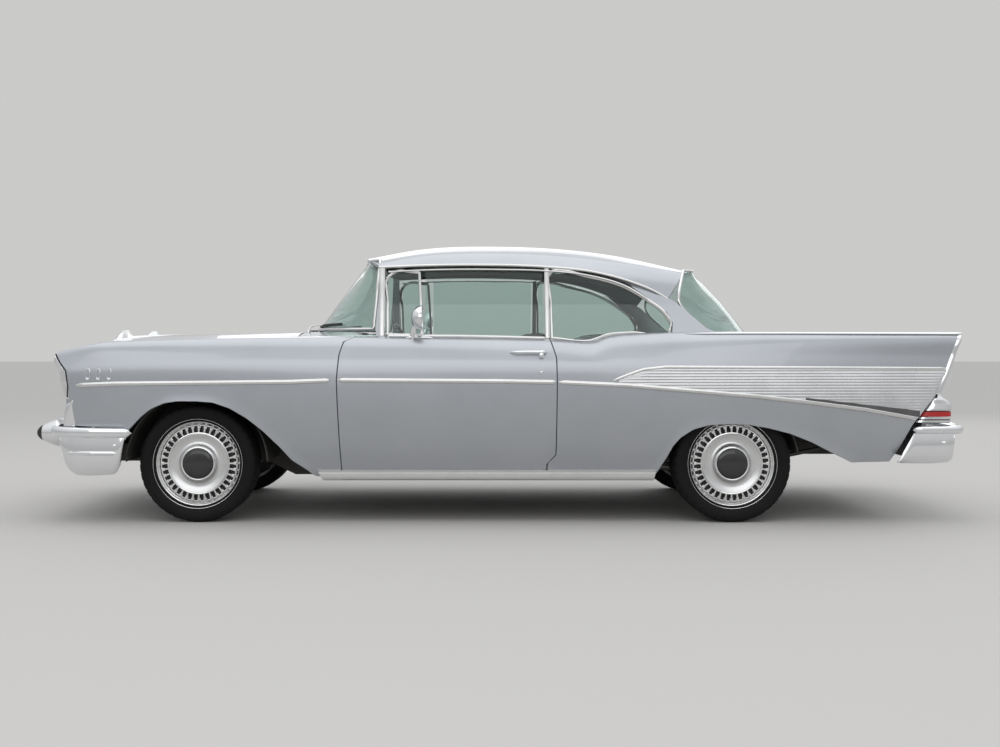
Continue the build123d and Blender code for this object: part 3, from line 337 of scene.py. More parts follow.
POLISHED_RIM = Finish("polished_rim", Slot.ALLOY, (.74, .74, .74), (.80, .80, .80), (.09, .15), 1.0,
                      8.0, 700.0, .015, dust=.12, dust_top=.32)
BRUSHED_RIM = Finish("brushed_rim", Slot.ALLOY, (.60, .60, .60), (.74, .74, .74), (.20, .34), 1.0,
                     60.0, 60.0, .12, stretch=(.12, 60.0, 1.0), coords=Coords.UV)
SLOT_DARK = Finish("slot_backing", Slot.ALLOY, (.03, .03, .032), (.06, .06, .062), (.45, .6), .4,
                   16.0, 300.0, .1)
DART = Finish("dart_grey", Slot.CHROME, (.10, .10, .105), (.14, .14, .145), (.3, .4), .5, 12.0, 500.0, .05)
CAP_BLACK = Finish("cap_black", Slot.ALLOY, (.008, .008, .009), (.014, .014, .015), (.12, .2), 0.0,
                   20.0, 600.0, .02, .6)
IRON = Finish("cast_iron", Slot.IRON, (.05, .045, .04), (.10, .07, .05), (.6, .8), .35, 20.0, 240.0,
              .35, dust=.6, dust_top=.7)
SPRING = Finish("spring_steel", Slot.SPRING, (.035, .034, .033), (.08, .06, .045), (.5, .7), .5,
                26.0, 300.0, .2, dust=.5, dust_top=.7)
BARE = Finish("bare_steel", Slot.BARE, (.26, .25, .23), (.38, .34, .29), (.35, .55), .9, 18.0,
              300.0, .12, dust=.4, dust_top=.6)
GRILLE = Finish("grille_aluminium", Slot.GRILLE, (.50, .50, .50), (.60, .60, .60), (.22, .32), 1.0,
                20.0, 500.0, .04)
DASH = Finish("dash_paint", Slot.DASH, (.10, .105, .11), (.12, .125, .13), (.35, .45), .2, 8.0,
              500.0, .05, .3)
WHEEL_PLASTIC = Finish("wheel_plastic", Slot.WHEEL_PLASTIC, (.02, .02, .021), (.03, .03, .031),
                       (.25, .35), 0.0, 20.0, 500.0, .04, .3)
VINYL = Finish("seat_vinyl", Slot.UPHOLSTERY, (.045, .047, .05), (.065, .068, .072), (.42, .55), 0.0,
               14.0, 650.0, .30)
CLOTH = Finish("seat_cloth", Slot.UPHOLSTERY, (.085, .088, .092), (.12, .124, .13), (.75, .9), 0.0,
               18.0, 1100.0, .55)
CARPET = Finish("cabin_carpet", Slot.UPHOLSTERY, (.02, .02, .021), (.04, .04, .042), (.9, 1.0), 0.0,
                60.0, 900.0, 1.0)
HEADLINER = Finish("headliner_cloth", Slot.UPHOLSTERY, (.32, .32, .31), (.38, .38, .37), (.85, .95),
                   0.0, 30.0, 900.0, .3)


# ------------------------------------------------------------------ numpy surfaces
def smooth_curve(knots: Array, at: Array) -> Array:
    """Monotone cubic through the rows of a table.

    Each column is a cubic Hermite curve of the first column. A slope at a knot is the harmonic
    mean of its neighbours' slopes, and zero at a turning point, so that nothing overshoots.

    Args:
        knots: table whose first column rises.
        at: places to evaluate, any shape.

    Returns:
        Array of at's shape with one more axis, one entry for each later column.
    """
    x, y = knots[:, 0], knots[:, 1:]
    h = np.diff(x)[:, None]
    d = np.diff(y, axis=0) / h
    slope = np.zeros_like(y)
    slope[0], slope[-1] = d[0], d[-1]
    if len(x) > 2:
        product = d[:-1] * d[1:]
        total = np.where(np.abs(d[:-1] + d[1:]) < 1e-12, 1.0, d[:-1] + d[1:])
        slope[1:-1] = np.where(product > 0, 2 * product / total, 0.0)
    at = np.clip(at, x[0], x[-1])
    i = np.clip(np.searchsorted(x, at, side="right") - 1, 0, len(x) - 2)
    t = ((at - x[i]) / h[i, 0])[..., None]
    t2, t3 = t * t, t * t * t
    return ((2 * t3 - 3 * t2 + 1) * y[i] + (t3 - 2 * t2 + t) * h[i] * slope[i]
            + (3 * t2 - 2 * t3) * y[i + 1] + (t3 - t2) * h[i] * slope[i + 1])


def chord_curve(controls: Array, w: Array) -> Array:
    """Smooth curve through control points that stand on the last but one axis.

    Between point k and k + 1 it is a cubic Hermite curve in w - k, whose tangents are the chord
    slopes weighted by the lengths of the chords on either side.

    Args:
        controls: array (..., points, dimensions).
        w: place along the curve, 0 at the first point, of controls' leading shape.

    Returns:
        Array (..., dimensions).
    """
    chord = np.diff(controls, axis=-2)
    length = np.maximum(np.linalg.norm(chord, axis=-1, keepdims=True), 1e-9)
    unit = chord / length
    inner = ((unit[..., :-1, :] * length[..., 1:, :] + unit[..., 1:, :] * length[..., :-1, :])
             / (length[..., :-1, :] + length[..., 1:, :]))
    tangent = np.concatenate([unit[..., :1, :], inner, unit[..., -1:, :]], axis=-2)
    i = np.clip(np.floor(w).astype(int), 0, controls.shape[-2] - 2)
    t = (w - i)[..., None]

    def pick(source: Array, step: int) -> Array:
        """Row i + step of a table, for every place on the curve."""
        index = (i + step)[..., None, None]
        return np.take_along_axis(source, np.broadcast_to(index, (*i.shape, 1, source.shape[-1])),
                                  axis=-2)[..., 0, :]

    h = pick(length, 0)
    t2, t3 = t * t, t * t * t
    return ((2 * t3 - 3 * t2 + 1) * pick(controls, 0) + (t3 - 2 * t2 + t) * h * pick(tangent, 0)
            + (3 * t2 - 2 * t3) * pick(controls, 1) + (t3 - t2) * h * pick(tangent, 1))


def spread(rows: Array, cols: Array) -> tuple[Array, Array]:
    """Two parameters over a grid, the first along its rows and the second along its columns."""
    first, second = np.meshgrid(rows, cols, indexing="ij")
    return first, second


def xyz(x: Array | float, y: Array | float, z: Array | float) -> Array:
    """Points from three coordinates, each an array or one number for all of them."""
    return np.stack(np.broadcast_arrays(x, y, z), -1)


def around(count: int) -> Array:
    """Angles of a full turn in even steps, without the last."""
    return np.linspace(0, 2 * math.pi, count, endpoint=False)


def signed(value: Array, power: float) -> Array:
    """sign(value) |value|^power, which squares off a sine or a cosine when power is below 1."""
    return np.sign(value) * np.abs(value) ** power


def with_ends(rings: Array) -> Array:
    """Rings (n, m, 3) with one more ring at each end, shrunk to the middle of the last one."""
    ends = [np.broadcast_to(rings[[k]].mean(1, keepdims=True), rings[[k]].shape) for k in (0, -1)]
    return np.concatenate([ends[0], rings, ends[1]])


def path_through(points: Sequence[Sequence[float]], count: int) -> Array:
    """Evenly spaced points on the chord_curve through a few points.

    Args:
        points: points that the curve passes, in two or three dimensions.
        count: number of points wanted.

    Returns:
        Array (count, dimensions).
    """
    controls = np.asarray(points, float)
    fine = np.linspace(0, len(controls) - 1, 40 * len(controls))
    line = chord_curve(np.broadcast_to(controls, (len(fine), *controls.shape)), fine)
    run = np.concatenate([[0], np.cumsum(np.linalg.norm(np.diff(line, axis=0), axis=1))])
    at = np.linspace(0, run[-1], count)
    return np.stack([np.interp(at, run, line[:, k]) for k in range(line.shape[1])], -1)


def grid_faces(rows: int, cols: int, wrap_rows: bool = False, wrap_cols: bool = False) -> Array:
    """Quads of a grid whose points are numbered row by row.

    Args:
        rows, cols: the grid's numbers of points.
        wrap_rows, wrap_cols: whether the last row or column joins the first.

    Returns:
        Array (faces, 4) of point numbers.
    """
    r = np.arange(rows if wrap_rows else rows - 1)
    c = np.arange(cols if wrap_cols else cols - 1)
    rr, cc = spread(r, c)
    r2, c2 = (rr + 1) % rows, (cc + 1) % cols
    return np.stack([rr * cols + cc, r2 * cols + cc, r2 * cols + c2, rr * cols + c2], -1).reshape(-1, 4)


def grid_normals(points: Array) -> Array:
    """Unit normals of a grid: the cross product of its two central differences.

    Args:
        points: grid (rows, cols, 3).

    Returns:
        Array of the same shape.
    """
    across = np.gradient(points, axis=0)
    along = np.gradient(points, axis=1)
    normal = np.cross(across, along)
    return normal / np.maximum(np.linalg.norm(normal, axis=-1, keepdims=True), 1e-9)


def roll_edges(points: Array, normal: Array, radius: float, depth: float) -> Array:
    """Adds a rolled edge round a grid: one row turned down 45 degrees, one row at full depth.

    Args:
        points: grid (rows, cols, 3).
        normal: its unit normals.
        radius: radius of the roll.
        depth: how far down the last row lies.

    Returns:
        Grid with two more rows and columns on every side.
    """
    for _ in range(2):
        first = points[0] - points[1]
        last = points[-1] - points[-2]
        first /= np.maximum(np.linalg.norm(first, axis=-1, keepdims=True), 1e-9)
        last /= np.maximum(np.linalg.norm(last, axis=-1, keepdims=True), 1e-9)
        a1 = points[0] + radius * (first - normal[0])
        b1 = points[-1] + radius * (last - normal[-1])
        a2 = a1 - (depth - radius) * normal[0]
        b2 = b1 - (depth - radius) * normal[-1]
        points = np.concatenate([[a2], [a1], points, [b1], [b2]]).swapaxes(0, 1)
        normal = np.concatenate([normal[:1]] * 2 + [normal] + [normal[-1:]] * 2).swapaxes(0, 1)
    return points


@dataclass
class Soup:
    """Points and faces gathered for one piece, in millimetre stations."""

    points: list[Array] = field(default_factory=list)
    faces: list[Array] = field(default_factory=list)
    uvs: list[Array] = field(default_factory=list)
    count: int = 0

    def add(self, points: Array, faces: Array, uv: Array | None = None) -> "Soup":
        """Adds points (n, 3) and quads (m, 4) that count from zero.

        Args:
            points: places (n, 3).
            faces: point numbers (m, 4).
            uv: place of each point on the UV map.

        Returns:
            This surface.
        """
        points = np.asarray(points, float).reshape(-1, 3)
        self.points.append(points)
        self.faces.append(np.asarray(faces, int) + self.count)
        self.uvs.append(np.zeros((len(points), 2)) if uv is None else uv.reshape(-1, 2))
        self.count += len(points)
        return self

    def include(self, other: "Soup") -> "Soup":
        """Adds another surface, without its UV map."""
        return self.add(np.concatenate(other.points), np.concatenate(other.faces))

    def grid(self, points: Array, wrap_rows: bool = False, wrap_cols: bool = False,
             flip: bool = False, uv: Array | None = None) -> "Soup":
        """Adds a grid (rows, cols, 3) as quads; flip turns its faces over."""
        faces = grid_faces(points.shape[0], points.shape[1], wrap_rows, wrap_cols)
        return self.add(points, faces[:, ::-1] if flip else faces, uv)

    def shell(self, points: Array, depth: float, radius: float = 2.0,
              outward: Sequence[float] = (0, 1, 0)) -> "Soup":
        """Adds a closed panel: an outer grid with rolled edges and an inner grid below it.

        Args:
            points: outer grid.
            depth: thickness of the panel.
            radius: radius of its rolled edge.
            outward: roughly the direction that the outer face looks in.

        Returns:
            This surface.
        """
        normal = grid_normals(points)
        if (normal * outward).sum(-1).mean() < 0:
            points, normal = points[::-1], -normal[::-1]
        outer = roll_edges(points, normal, radius, depth)
        inner = outer.copy()
        inner[2:-2, 2:-2] = points - depth * normal
        inner[1, :] = inner[0, :]
        inner[-2, :] = inner[-1, :]
        inner[:, 1] = inner[:, 0]
        inner[:, -2] = inner[:, -1]
        self.grid(outer)
        return self.grid(inner[1:-1, 1:-1], flip=True)

    def mirrored(self) -> "Soup":
        """The same faces on the other side of the centre plane.

        Returns:
            The twin surface.
        """
        other = Soup()
        for points, faces, uv in zip(self.points, self.faces, self.uvs):
            other.points.append(points * (1, -1, 1))
            other.faces.append(faces[:, ::-1])
            other.uvs.append(uv)
        other.count = self.count
        return other

    def both(self) -> "Soup":
        """This side and its twin in one piece.

        Returns:
            Both sides as one surface.
        """
        twin = self.mirrored()
        joined = Soup(list(self.points), list(self.faces), list(self.uvs), self.count * 2)
        joined.points += twin.points
        joined.faces += [faces + self.count for faces in twin.faces]
        joined.uvs += twin.uvs
        return joined

    def on(self, side: Side) -> "Soup":
        """This surface, made for the right side, or its twin for the left."""
        return self if side is Side.RIGHT else self.mirrored()

    def piece(self, name: str, finish: Finish, body: str, replaces: Sequence[str] = (),
              angle: float = 38.0, closed: bool = True) -> bpy.types.Object:
        """Makes the Blender object, in metres, riding on its body.

        Args:
            name: the piece's name.
            finish: its finish.
            body: the CAD body it rides on.
            replaces: CAD nodes that it stands for.
            angle: edges sharper than this many degrees stay crisp.
            closed: whether its faces are turned outwards after its doubles are merged.

        Returns:
            The new object.
        """
        points = np.concatenate(self.points) * .001
        points[:, 0] += FRONT_AXLE
        faces = np.concatenate(self.faces)
        mesh = bpy.data.meshes.new(name)
        mesh.from_pydata(points, [], faces.tolist())
        if any(np.any(uv) for uv in self.uvs):
            layer = mesh.uv_layers.new(name="UVMap")
            uv = np.concatenate(self.uvs)[faces.ravel()]
            layer.data.foreach_set("uv", uv.ravel().astype(np.float32))
        if closed:
            work = bmesh.new()
            work.from_mesh(mesh)
            bmesh.ops.remove_doubles(work, verts=work.verts, dist=2e-5)
            bmesh.ops.dissolve_degenerate(work, edges=work.edges, dist=1e-5)
            bmesh.ops.recalc_face_normals(work, faces=work.faces)
            work.to_mesh(mesh)
            work.free()
        mesh.validate()
        mesh.shade_smooth()
        mesh.set_sharp_from_angle(angle=math.radians(angle))
        mesh.materials.append(finish.material())
        made = bpy.data.objects.new(name, mesh)
        bpy.context.scene.collection.objects.link(made)
        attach(made, body)
        if replaces:
            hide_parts(*replaces)
        log.info("%s: %d points on %s", name, len(mesh.vertices), body)
        return made


def sweep(path: Array, profile: Array, up: Sequence[float] = (0, 0, 1), closed: bool = False,
          scale: Array | None = None) -> Soup:
    """Profile carried along a path.

    A point is path + a * side + b * over, where side is the unit cross product of the path's
    direction and up, over is square to both, and (a, b) runs round the profile.

    Args:
        path: (n, 3) centre line.
        profile: (m, 2) closed outline of the section.
        up: roughly the direction of b.
        closed: whether the path closes on itself.
        scale: (n,) size of the section along the path.

    Returns:
        The swept surface, with flat ends unless the path is closed.
    """
    path = np.asarray(path, float)
    if closed:
        ahead = np.roll(path, -1, axis=0) - np.roll(path, 1, axis=0)
    else:
        ahead = np.gradient(path, axis=0)
    ahead /= np.linalg.norm(ahead, axis=1, keepdims=True)
    side = np.cross(ahead, np.asarray(up, float))
    side /= np.linalg.norm(side, axis=1, keepdims=True)
    over = np.cross(side, ahead)
    size = np.ones(len(path)) if scale is None else scale
    a = profile[None, :, 0, None] * size[:, None, None]
    b = profile[None, :, 1, None] * size[:, None, None]
    points = path[:, None] + a * side[:, None] + b * over[:, None]
    if not closed:
        middle = path[[0, -1]][:, None]
        points = np.concatenate([np.broadcast_to(middle[0], (1, len(profile), 3)), points,
                                 np.broadcast_to(middle[1], (1, len(profile), 3))])
    return Soup().grid(points, wrap_rows=closed, wrap_cols=True)


def oval(width: float, height: float, count: int = 12, power: float = 1.0) -> Array:
    """Closed outline of half-width and half-height; a power below 1 squares its corners.

    Args:
        width, height: half-width and half-height.
        count: number of points.
        power: power that the sine and the cosine are raised to.

    Returns:
        Array (count, 2).
    """
    a = around(count)
    c, s = np.cos(a), np.sin(a)
    return np.stack([width * signed(c, power), height * signed(s, power)], -1)


def turned(profile: Sequence[tuple[float, float]], centre: Sequence[float], count: int = 72,
           axis: Axis = Axis.Y, closed: bool = False) -> Soup:
    """Profile of (along the axis, radius) turned about a line through centre.

    The point at angle a is along * axis + radius * (cos a, sin a) across it.

    Args:
        profile: (place along the axis, radius) of each point.
        centre: point on the axis from which the places count.
        count: number of steps round the axis.
        axis: direction of the axis.
        closed: whether the profile closes on itself.

    Returns:
        The turned surface, with the angle and the radius as its UV map.
    """
    line = np.asarray(profile, float)
    a = around(count)
    along = line[:, None, 0]
    p, q = line[:, None, 1] * np.cos(a), line[:, None, 1] * np.sin(a)
    order = {Axis.Y: (p, along, q), Axis.X: (along, p, q), Axis.Z: (p, q, along)}[axis]
    points = xyz(*order) + np.asarray(centre, float)
    uv = np.stack(np.broadcast_arrays(a / (2 * math.pi), line[:, None, 1] * .001), -1)
    return Soup().grid(points, wrap_rows=closed, wrap_cols=True, uv=uv)


def boxes(centres: Array, sizes: Array, taper: float = 1.0) -> Soup:
    """Many small blocks at once: centres and full sizes (n, 3), with the top face scaled by taper.

    Args:
        centres, sizes: middle and full size of each block (n, 3).
        taper: size of the top face against the bottom one.

    Returns:
        All blocks as one surface.
    """
    corner = np.array([(-1, -1, -1), (1, -1, -1), (1, 1, -1), (-1, 1, -1),
                       (-1, -1, 1), (1, -1, 1), (1, 1, 1), (-1, 1, 1)], float) * .5
    corner[4:, :2] *= taper
    points = centres[:, None] + corner[None] * sizes[:, None]
    quads = np.array([(0, 3, 2, 1), (4, 5, 6, 7), (0, 1, 5, 4), (1, 2, 6, 5), (2, 3, 7, 6), (3, 0, 4, 7)])
    faces = quads[None] + 8 * np.arange(len(centres))[:, None, None]
    return Soup().add(points, faces.reshape(-1, 4))


def dress(nodes: Sequence[str], finish: Finish) -> None:
    """Gives kept CAD nodes a finish.

    Args:
        nodes: names of the nodes.
        finish: the finish.
    """
    for name in nodes:
        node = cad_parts[name]
        node.data.materials.clear()
        node.data.materials.append(finish.material())
        log.info("%s keeps its CAD shape in %s", name, finish.name)


# ------------------------------------------------------------------ body shape
FENDER_FRONT: Line = ((-778, 926), (-740, 869), (-706, 828), (-694, 743), (-697, 693), (-672, 532))
FRONT_ARCH: Line = ((-672, 532), (-365, 511), (-294, 584), (-240, 625), (-169, 656), (-98, 667), (10, 667),
                    (99, 660), (189, 629), (278, 576), (367, 504), (457, 414), (518, 343),
                    (598, 290), (640, 252), (900, 250))
DOOR_FRONT: Line = ((790, 250), (780, 439), (768, 783), (780, 920), (802, 989), (863, 1012))
DOOR_REAR: Line = ((1908, 250), (1908, 322), (1956, 370), (1959, 783), (1956, 903), (1925, 1003))
REAR_ARCH: Line = ((1800, 250), (2492, 250), (2551, 338), (2580, 409), (2627, 467), (2697, 514),
                   (2779, 537), (2872, 543), (2989, 540), (3106, 520), (3223, 490), (3340, 444),
                   (3456, 385), (3573, 329), (3784, 333), (3836, 337), (4200, 340))
TAIL_EDGE: Line = ((3784, 333), (3836, 420), (3890, 530), (4010, 700), (4042, 711), (4150, 1000),
                   (4152, 1034))
SPEAR: Line = ((-657, 750), (-454, 759), (518, 770), (772, 780), (1650, 774), (1959, 769),
               (2337, 752), (2680, 723), (3024, 693), (3299, 662), (3625, 620), (3917, 568))
UPPER: Line = ((2252, 774), (2338, 808), (2424, 838), (2544, 851), (4041, 842))


def falls(line: Line, at: Array) -> Array:
    """Straight-line reading of a polyline of (argument, value)."""
    table = np.asarray(line, float)
    return np.interp(at, table[:, 0], table[:, 1])


def swapped(line: Line) -> Array:
    """Polyline turned from (x, z) to (z, x), rising in z."""
    table = np.asarray(line, float)[:, ::-1]
    return table[np.argsort(table[:, 0], kind="stable")]


def distance_to(line: Line, x: Array, z: Array) -> Array:
    """Least distance of points to a side-view polyline, over all its segments at once.

    Args:
        line: the polyline (station, height).
        x, z: stations and heights of the points.

    Returns:
        Array of distances.
    """
    table = np.asarray(line, float)
    a, b = table[:-1], table[1:]
    d = b - a
    px = x[..., None] - a[:, 0]
    pz = z[..., None] - a[:, 1]
    t = np.clip((px * d[:, 0] + pz * d[:, 1]) / (d ** 2).sum(1), 0, 1)
    return np.sqrt((px - t * d[:, 0]) ** 2 + (pz - t * d[:, 1]) ** 2).min(-1)


@dataclass
class BodySide:
    """Right side of the body as one surface of station and section place.

    A row gives the station and, for the sill, low, widest, shoulder, top, turn and inner points
    of the section, its half-width and height. Along the car each column is smooth_curve of the
    station, and round the section the points are joined by chord_curve.
    """

    sill_z: float = 240.0
    low_z: float = 450.0
    rows: Array = field(default_factory=lambda: np.array([
        (-800, 800, 842, 868, 740, 862, 850, 826, 922, 770, 930, 640, 914),
        (-480, 806, 858, 895, 745, 887, 870, 842, 982, 785, 990, 650, 970),
        (0, 816, 876, 918, 752, 905, 890, 848, 998, 800, 1008, 664, 1000),
        (450, 824, 888, 932, 758, 913, 900, 850, 1006, 806, 1014, 690, 1010),
        (880, 828, 894, 938, 762, 916, 902, 850, 1008, 826, 1016, 770, 1017),
        (1400, 828, 895, 938, 764, 917, 902, 852, 1002, 830, 1012, 790, 1013),
        (1925, 828, 895, 938, 765, 917, 900, 852, 992, 830, 1002, 790, 1003),
        (2155, 828, 895, 938, 765, 917, 895, 852, 978, 832, 988, 790, 989),
        (2242, 828, 895, 938, 765, 917, 900, 852, 1006, 832, 1018, 790, 1020),
        (2380, 827, 894, 938, 765, 917, 902, 852, 1018, 832, 1030, 790, 1032),
        (2650, 826, 892, 936, 766, 916, 902, 856, 1024, 836, 1036, 765, 1035),
        (3180, 820, 886, 928, 766, 911, 902, 864, 1026, 846, 1036, 720, 1004),
        (3680, 808, 872, 914, 766, 900, 902, 868, 1025, 852, 1035, 752, 966),
        (4170, 792, 854, 894, 766, 886, 902, 870, 1024, 856, 1034, 790, 928)], float))

    def point(self, x: Array, w: Array) -> Array:
        """Half-width and height at a station and a section place from 0 (sill) to 6 (inner).

        Args:
            x: stations.
            w: section places, of x's shape.

        Returns:
            Array (..., 2).
        """
        c = smooth_curve(self.rows, x)
        flat = np.zeros(x.shape)
        ctrl = np.stack([c[..., 0], flat + self.sill_z, c[..., 1], flat + self.low_z, c[..., 2],
                         c[..., 3], c[..., 4], c[..., 5], c[..., 6], c[..., 7], c[..., 8],
                         c[..., 9], c[..., 10], c[..., 11]], -1)
        return chord_curve(ctrl.reshape(*x.shape, 7, 2), w)

    def place(self, x: Array, z: Array) -> Array:
        """Section place whose height is z, by halving the range from sill to top.

        Args:
            x: stations.
            z: heights, of x's shape.

        Returns:
            Section places.
        """
        low, high = np.zeros(x.shape), np.full(x.shape, 5.0)
        for _ in range(22):
            middle = (low + high) / 2
            below = self.point(x, middle)[..., 1] < z
            low, high = np.where(below, middle, low), np.where(below, high, middle)
        return (low + high) / 2

    def half_width(self, x: Array, z: Array) -> Array:
        """Half-width of the side at a station and a height."""
        return self.point(x, self.place(x, z))[..., 0]

    def half_width_at(self, x: float, z: float) -> float:
        """Half-width of the side at one station and height."""
        return float(self.half_width(np.array([x]), np.array([z]))[0])

    def panel(self, front: Line, rear: Line, low: Line, top: float, us: Array, vs: Array,
              gap: float = 4.0) -> Array:
        """Grid of a panel between two gap lines and above a lower edge.

        Row u and column v solve x = front(z) + u (rear(z) - front(z)) and
        w = w_low(x) + v (top - w_low(x)) together, by a few rounds of substitution.

        Args:
            front: front edge in the side view.
            rear: rear edge.
            low: lower edge, rising in x.
            top: section place of the upper edge.
            us: shares of the way rearward.
            vs: shares of the way up.
            gap: half the gap left at the front and rear edges.

        Returns:
            Grid (rows, cols, 3) of stations, half-widths and heights.
        """
        u, v = spread(us, vs)
        z = np.full(u.shape, 650.0)
        x = u
        f, r = swapped(front), swapped(rear)
        for _ in range(7):
            xf = np.interp(z, f[:, 0], f[:, 1]) + gap
            xr = np.interp(z, r[:, 0], r[:, 1]) - gap
            x = xf + u * (xr - xf)
            w = self.place(x, falls(low, x))
            w = w + v * (top - w)
            yz = self.point(x, w)
            z = z + .8 * (yz[..., 1] - z)
        return xyz(x, yz[..., 0], yz[..., 1])


SIDE = BodySide()


def with_lip(points: Array, arch: Line, height: float = 7.0, width: float = 22.0) -> Array:
    """Raises the skin beside a wheel opening: height * exp(-(distance / width)^2).

    Args:
        points: the skin's grid.
        arch: edge of the opening in the side view.
        height, width: size of the lip.

    Returns:
        The raised grid.
    """
    away = distance_to(arch, points[..., 0], points[..., 2])
    lifted = points.copy()
    lifted[..., 1] += height * np.exp(-(away / width) ** 2)
    return lifted


def steps(*parts: tuple[float, float, int]) -> Array:
    """Runs of evenly spaced numbers joined end to end."""
    return np.unique(np.concatenate([np.linspace(a, b, n) for a, b, n in parts]))


@dataclass
class FrontEnd:
    """Fenders with their louvres, lamps, hood and its ornaments.

    Attributes:
        skin: thickness of a fender at its turned edges.
        lamp_y, lamp_z, lamp_radius: middle and radius of a head lamp's opening.
        ridge_y: half-width at which the hood's two ridges and their sights stand.
        well_radius, well_inner: radius of a wheel well and half-width of its inner wall.
        louvre_z: height of the louvres' middles.
        crest: station and height of a sight's blade over the hood.
        hood_half: station and half-width of the hood's edge.
    """

    skin: float = 20.0
    lamp_y: float = 738.0
    lamp_z: float = 790.0
    lamp_radius: float = 92.0
    ridge_y: float = 330.0
    well_radius: float = 388.0
    well_inner: float = 446.0
    louvre_z: float = 811.0
    crest: Line = ((-604, 4), (-585, 20), (-560, 44), (-543, 54), (-515, 52), (-506, 36), (-490, 14),
                   (-400, 9), (-300, 4))
    hood_half: Array = field(default_factory=lambda: np.array([
        (-900, 632), (0, 656), (530, 675)], float))

    def fenders(self) -> None:
        """Builds both fenders, with lipped wheel openings."""
        us = steps((0, .21, 16), (.21, .88, 60), (.88, 1, 10))
        grid = SIDE.panel(FENDER_FRONT, DOOR_FRONT, FRONT_ARCH, 6.0, us, np.linspace(0, 1, 56))
        grid = with_lip(grid, FRONT_ARCH[1:-2])
        limit = smooth_curve(self.hood_half, grid[..., 0])[..., 0] + 4
        grid[..., 1] = np.maximum(grid[..., 1], np.where(grid[..., 2] > 880, limit, 0))
        soup = Soup().shell(grid, self.skin)
        for side in Side:
            soup.on(side).piece("fender_" + side.tag, SILVER, "body", ["front_fender_" + side.tag])

    def hood_point(self, x: Array, y: Array) -> Array:
        """Height of the hood: crown at two shallow ridges, dished between them.

        Args:
            x: stations.
            y: distances from the centre plane, of either sign.

        Returns:
            Heights.
        """
        edge = smooth_curve(np.array([(-800, 880), (-775, 905), (-640, 962), (-300, 1002),
                                      (520, 1018)], float), x)[..., 0]
        ridge = smooth_curve(np.array([(-800, 880), (-790, 906), (-650, 980), (-300, 1021),
                                       (520, 1046)], float), x)[..., 0]
        middle = smooth_curve(np.array([(-800, 880), (-790, 906), (-655, 968), (-300, 1008),
                                        (520, 1046)], float), x)[..., 0]
        a = np.abs(y)
        outer = np.clip((a - self.ridge_y) / self.ridge_y, 0, 1)
        inner = np.clip(a / self.ridge_y, 0, 1)
        blend_out = outer * outer * (1.4 - .4 * outer)
        blend_in = inner * inner * (3 - 2 * inner)
        return np.where(a > self.ridge_y, ridge + (edge - ridge) * blend_out,
                        middle + (ridge - middle) * blend_in)

    def hood(self) -> None:
        """Builds the hood with its turned-down nose."""
        xs = -796 + 1316 * np.linspace(0, 1, 90) ** 1.3
        half = smooth_curve(self.hood_half, xs)[..., 0] - 4
        t = np.linspace(-1, 1, 81)
        y = half[:, None] * t[None]
        x = np.broadcast_to(xs[:, None], y.shape)
        x = x + 22 * (np.abs(t[None]) ** 2.5) * np.clip((-640 - x) / 160, 0, 1)
        z = self.hood_point(x, y)
        Soup().shell(xyz(x, y, z), 24, outward=(0, 0, 1)).piece("hood_panel", SILVER, "hood", ["hood"])


    def ornaments(self) -> None:
        """Twin sights on the hood's ridges: a long keel with a swept blade at its front."""
        y = self.ridge_y
        xs = np.linspace(-622, -200, 50)
        base = self.hood_point(xs, np.full(50, y))
        keel = sweep(xyz(xs, y, base + 3), oval(15, 7, 14),
                     scale=np.interp(xs, (-622, -600, -360, -200), (.3, 1, .9, .15)))
        x, v = spread(np.linspace(-604, -300, 90), np.linspace(0, 1, 9))
        foot = self.hood_point(x, np.full(x.shape, y)) - 1
        rise = falls(self.crest, x)
        wide = 1.5 + 5.5 * (1 - v) + 2 * v
        blades = Soup()
        for side in (-1, 1):
            blades.grid(xyz(x, y + side * wide, foot + v * rise), flip=side < 0)
        edge = xyz(x[:, -1], y, (foot + rise)[:, -1])
        top = sweep(edge, oval(5, 3, 10))
        joined(keel, blades, top).both().piece("hood_sights", CHROME, "hood", closed=False)

    def louvres(self) -> None:
        """Three bright-rimmed slots on each fender ahead of the wheel."""
        rims, darks = Soup(), Soup()
        for x in (-585.0, -527.0, -467.0):
            outline = oval(11, 31, 28, .75)
            xs, zs = x + outline[:, 0], self.louvre_z + outline[:, 1]
            y = SIDE.half_width(xs, zs)
            ring = sweep(xyz(xs, y + 1, zs), oval(2.6, 2.6, 8), up=(0, 1, 0), closed=True)
            rims.include(ring)
            r = np.linspace(0, 1, 5)[:, None]
            gx, gz = x + outline[:, 0] * r, self.louvre_z + outline[:, 1] * r
            grid = xyz(gx, SIDE.half_width(gx, gz) + .8 - 5 * (1 - r ** 3), gz)
            darks.grid(grid, wrap_cols=True)
            low = self.louvre_z - 31
            side = SIDE.half_width_at(x, 784.0)
            foot = turned([(low, .01), (low + 1, 5), (low + 6, 7), (low + 12, 5), (low + 14, .01)],
                          (x, side - 2, 0), 14, Axis.Z)
            rims.include(foot)
        rims.both().piece("louvre_rims", CHROME, "body")
        darks.both().piece("louvre_slots", STAINLESS, "body", closed=False)

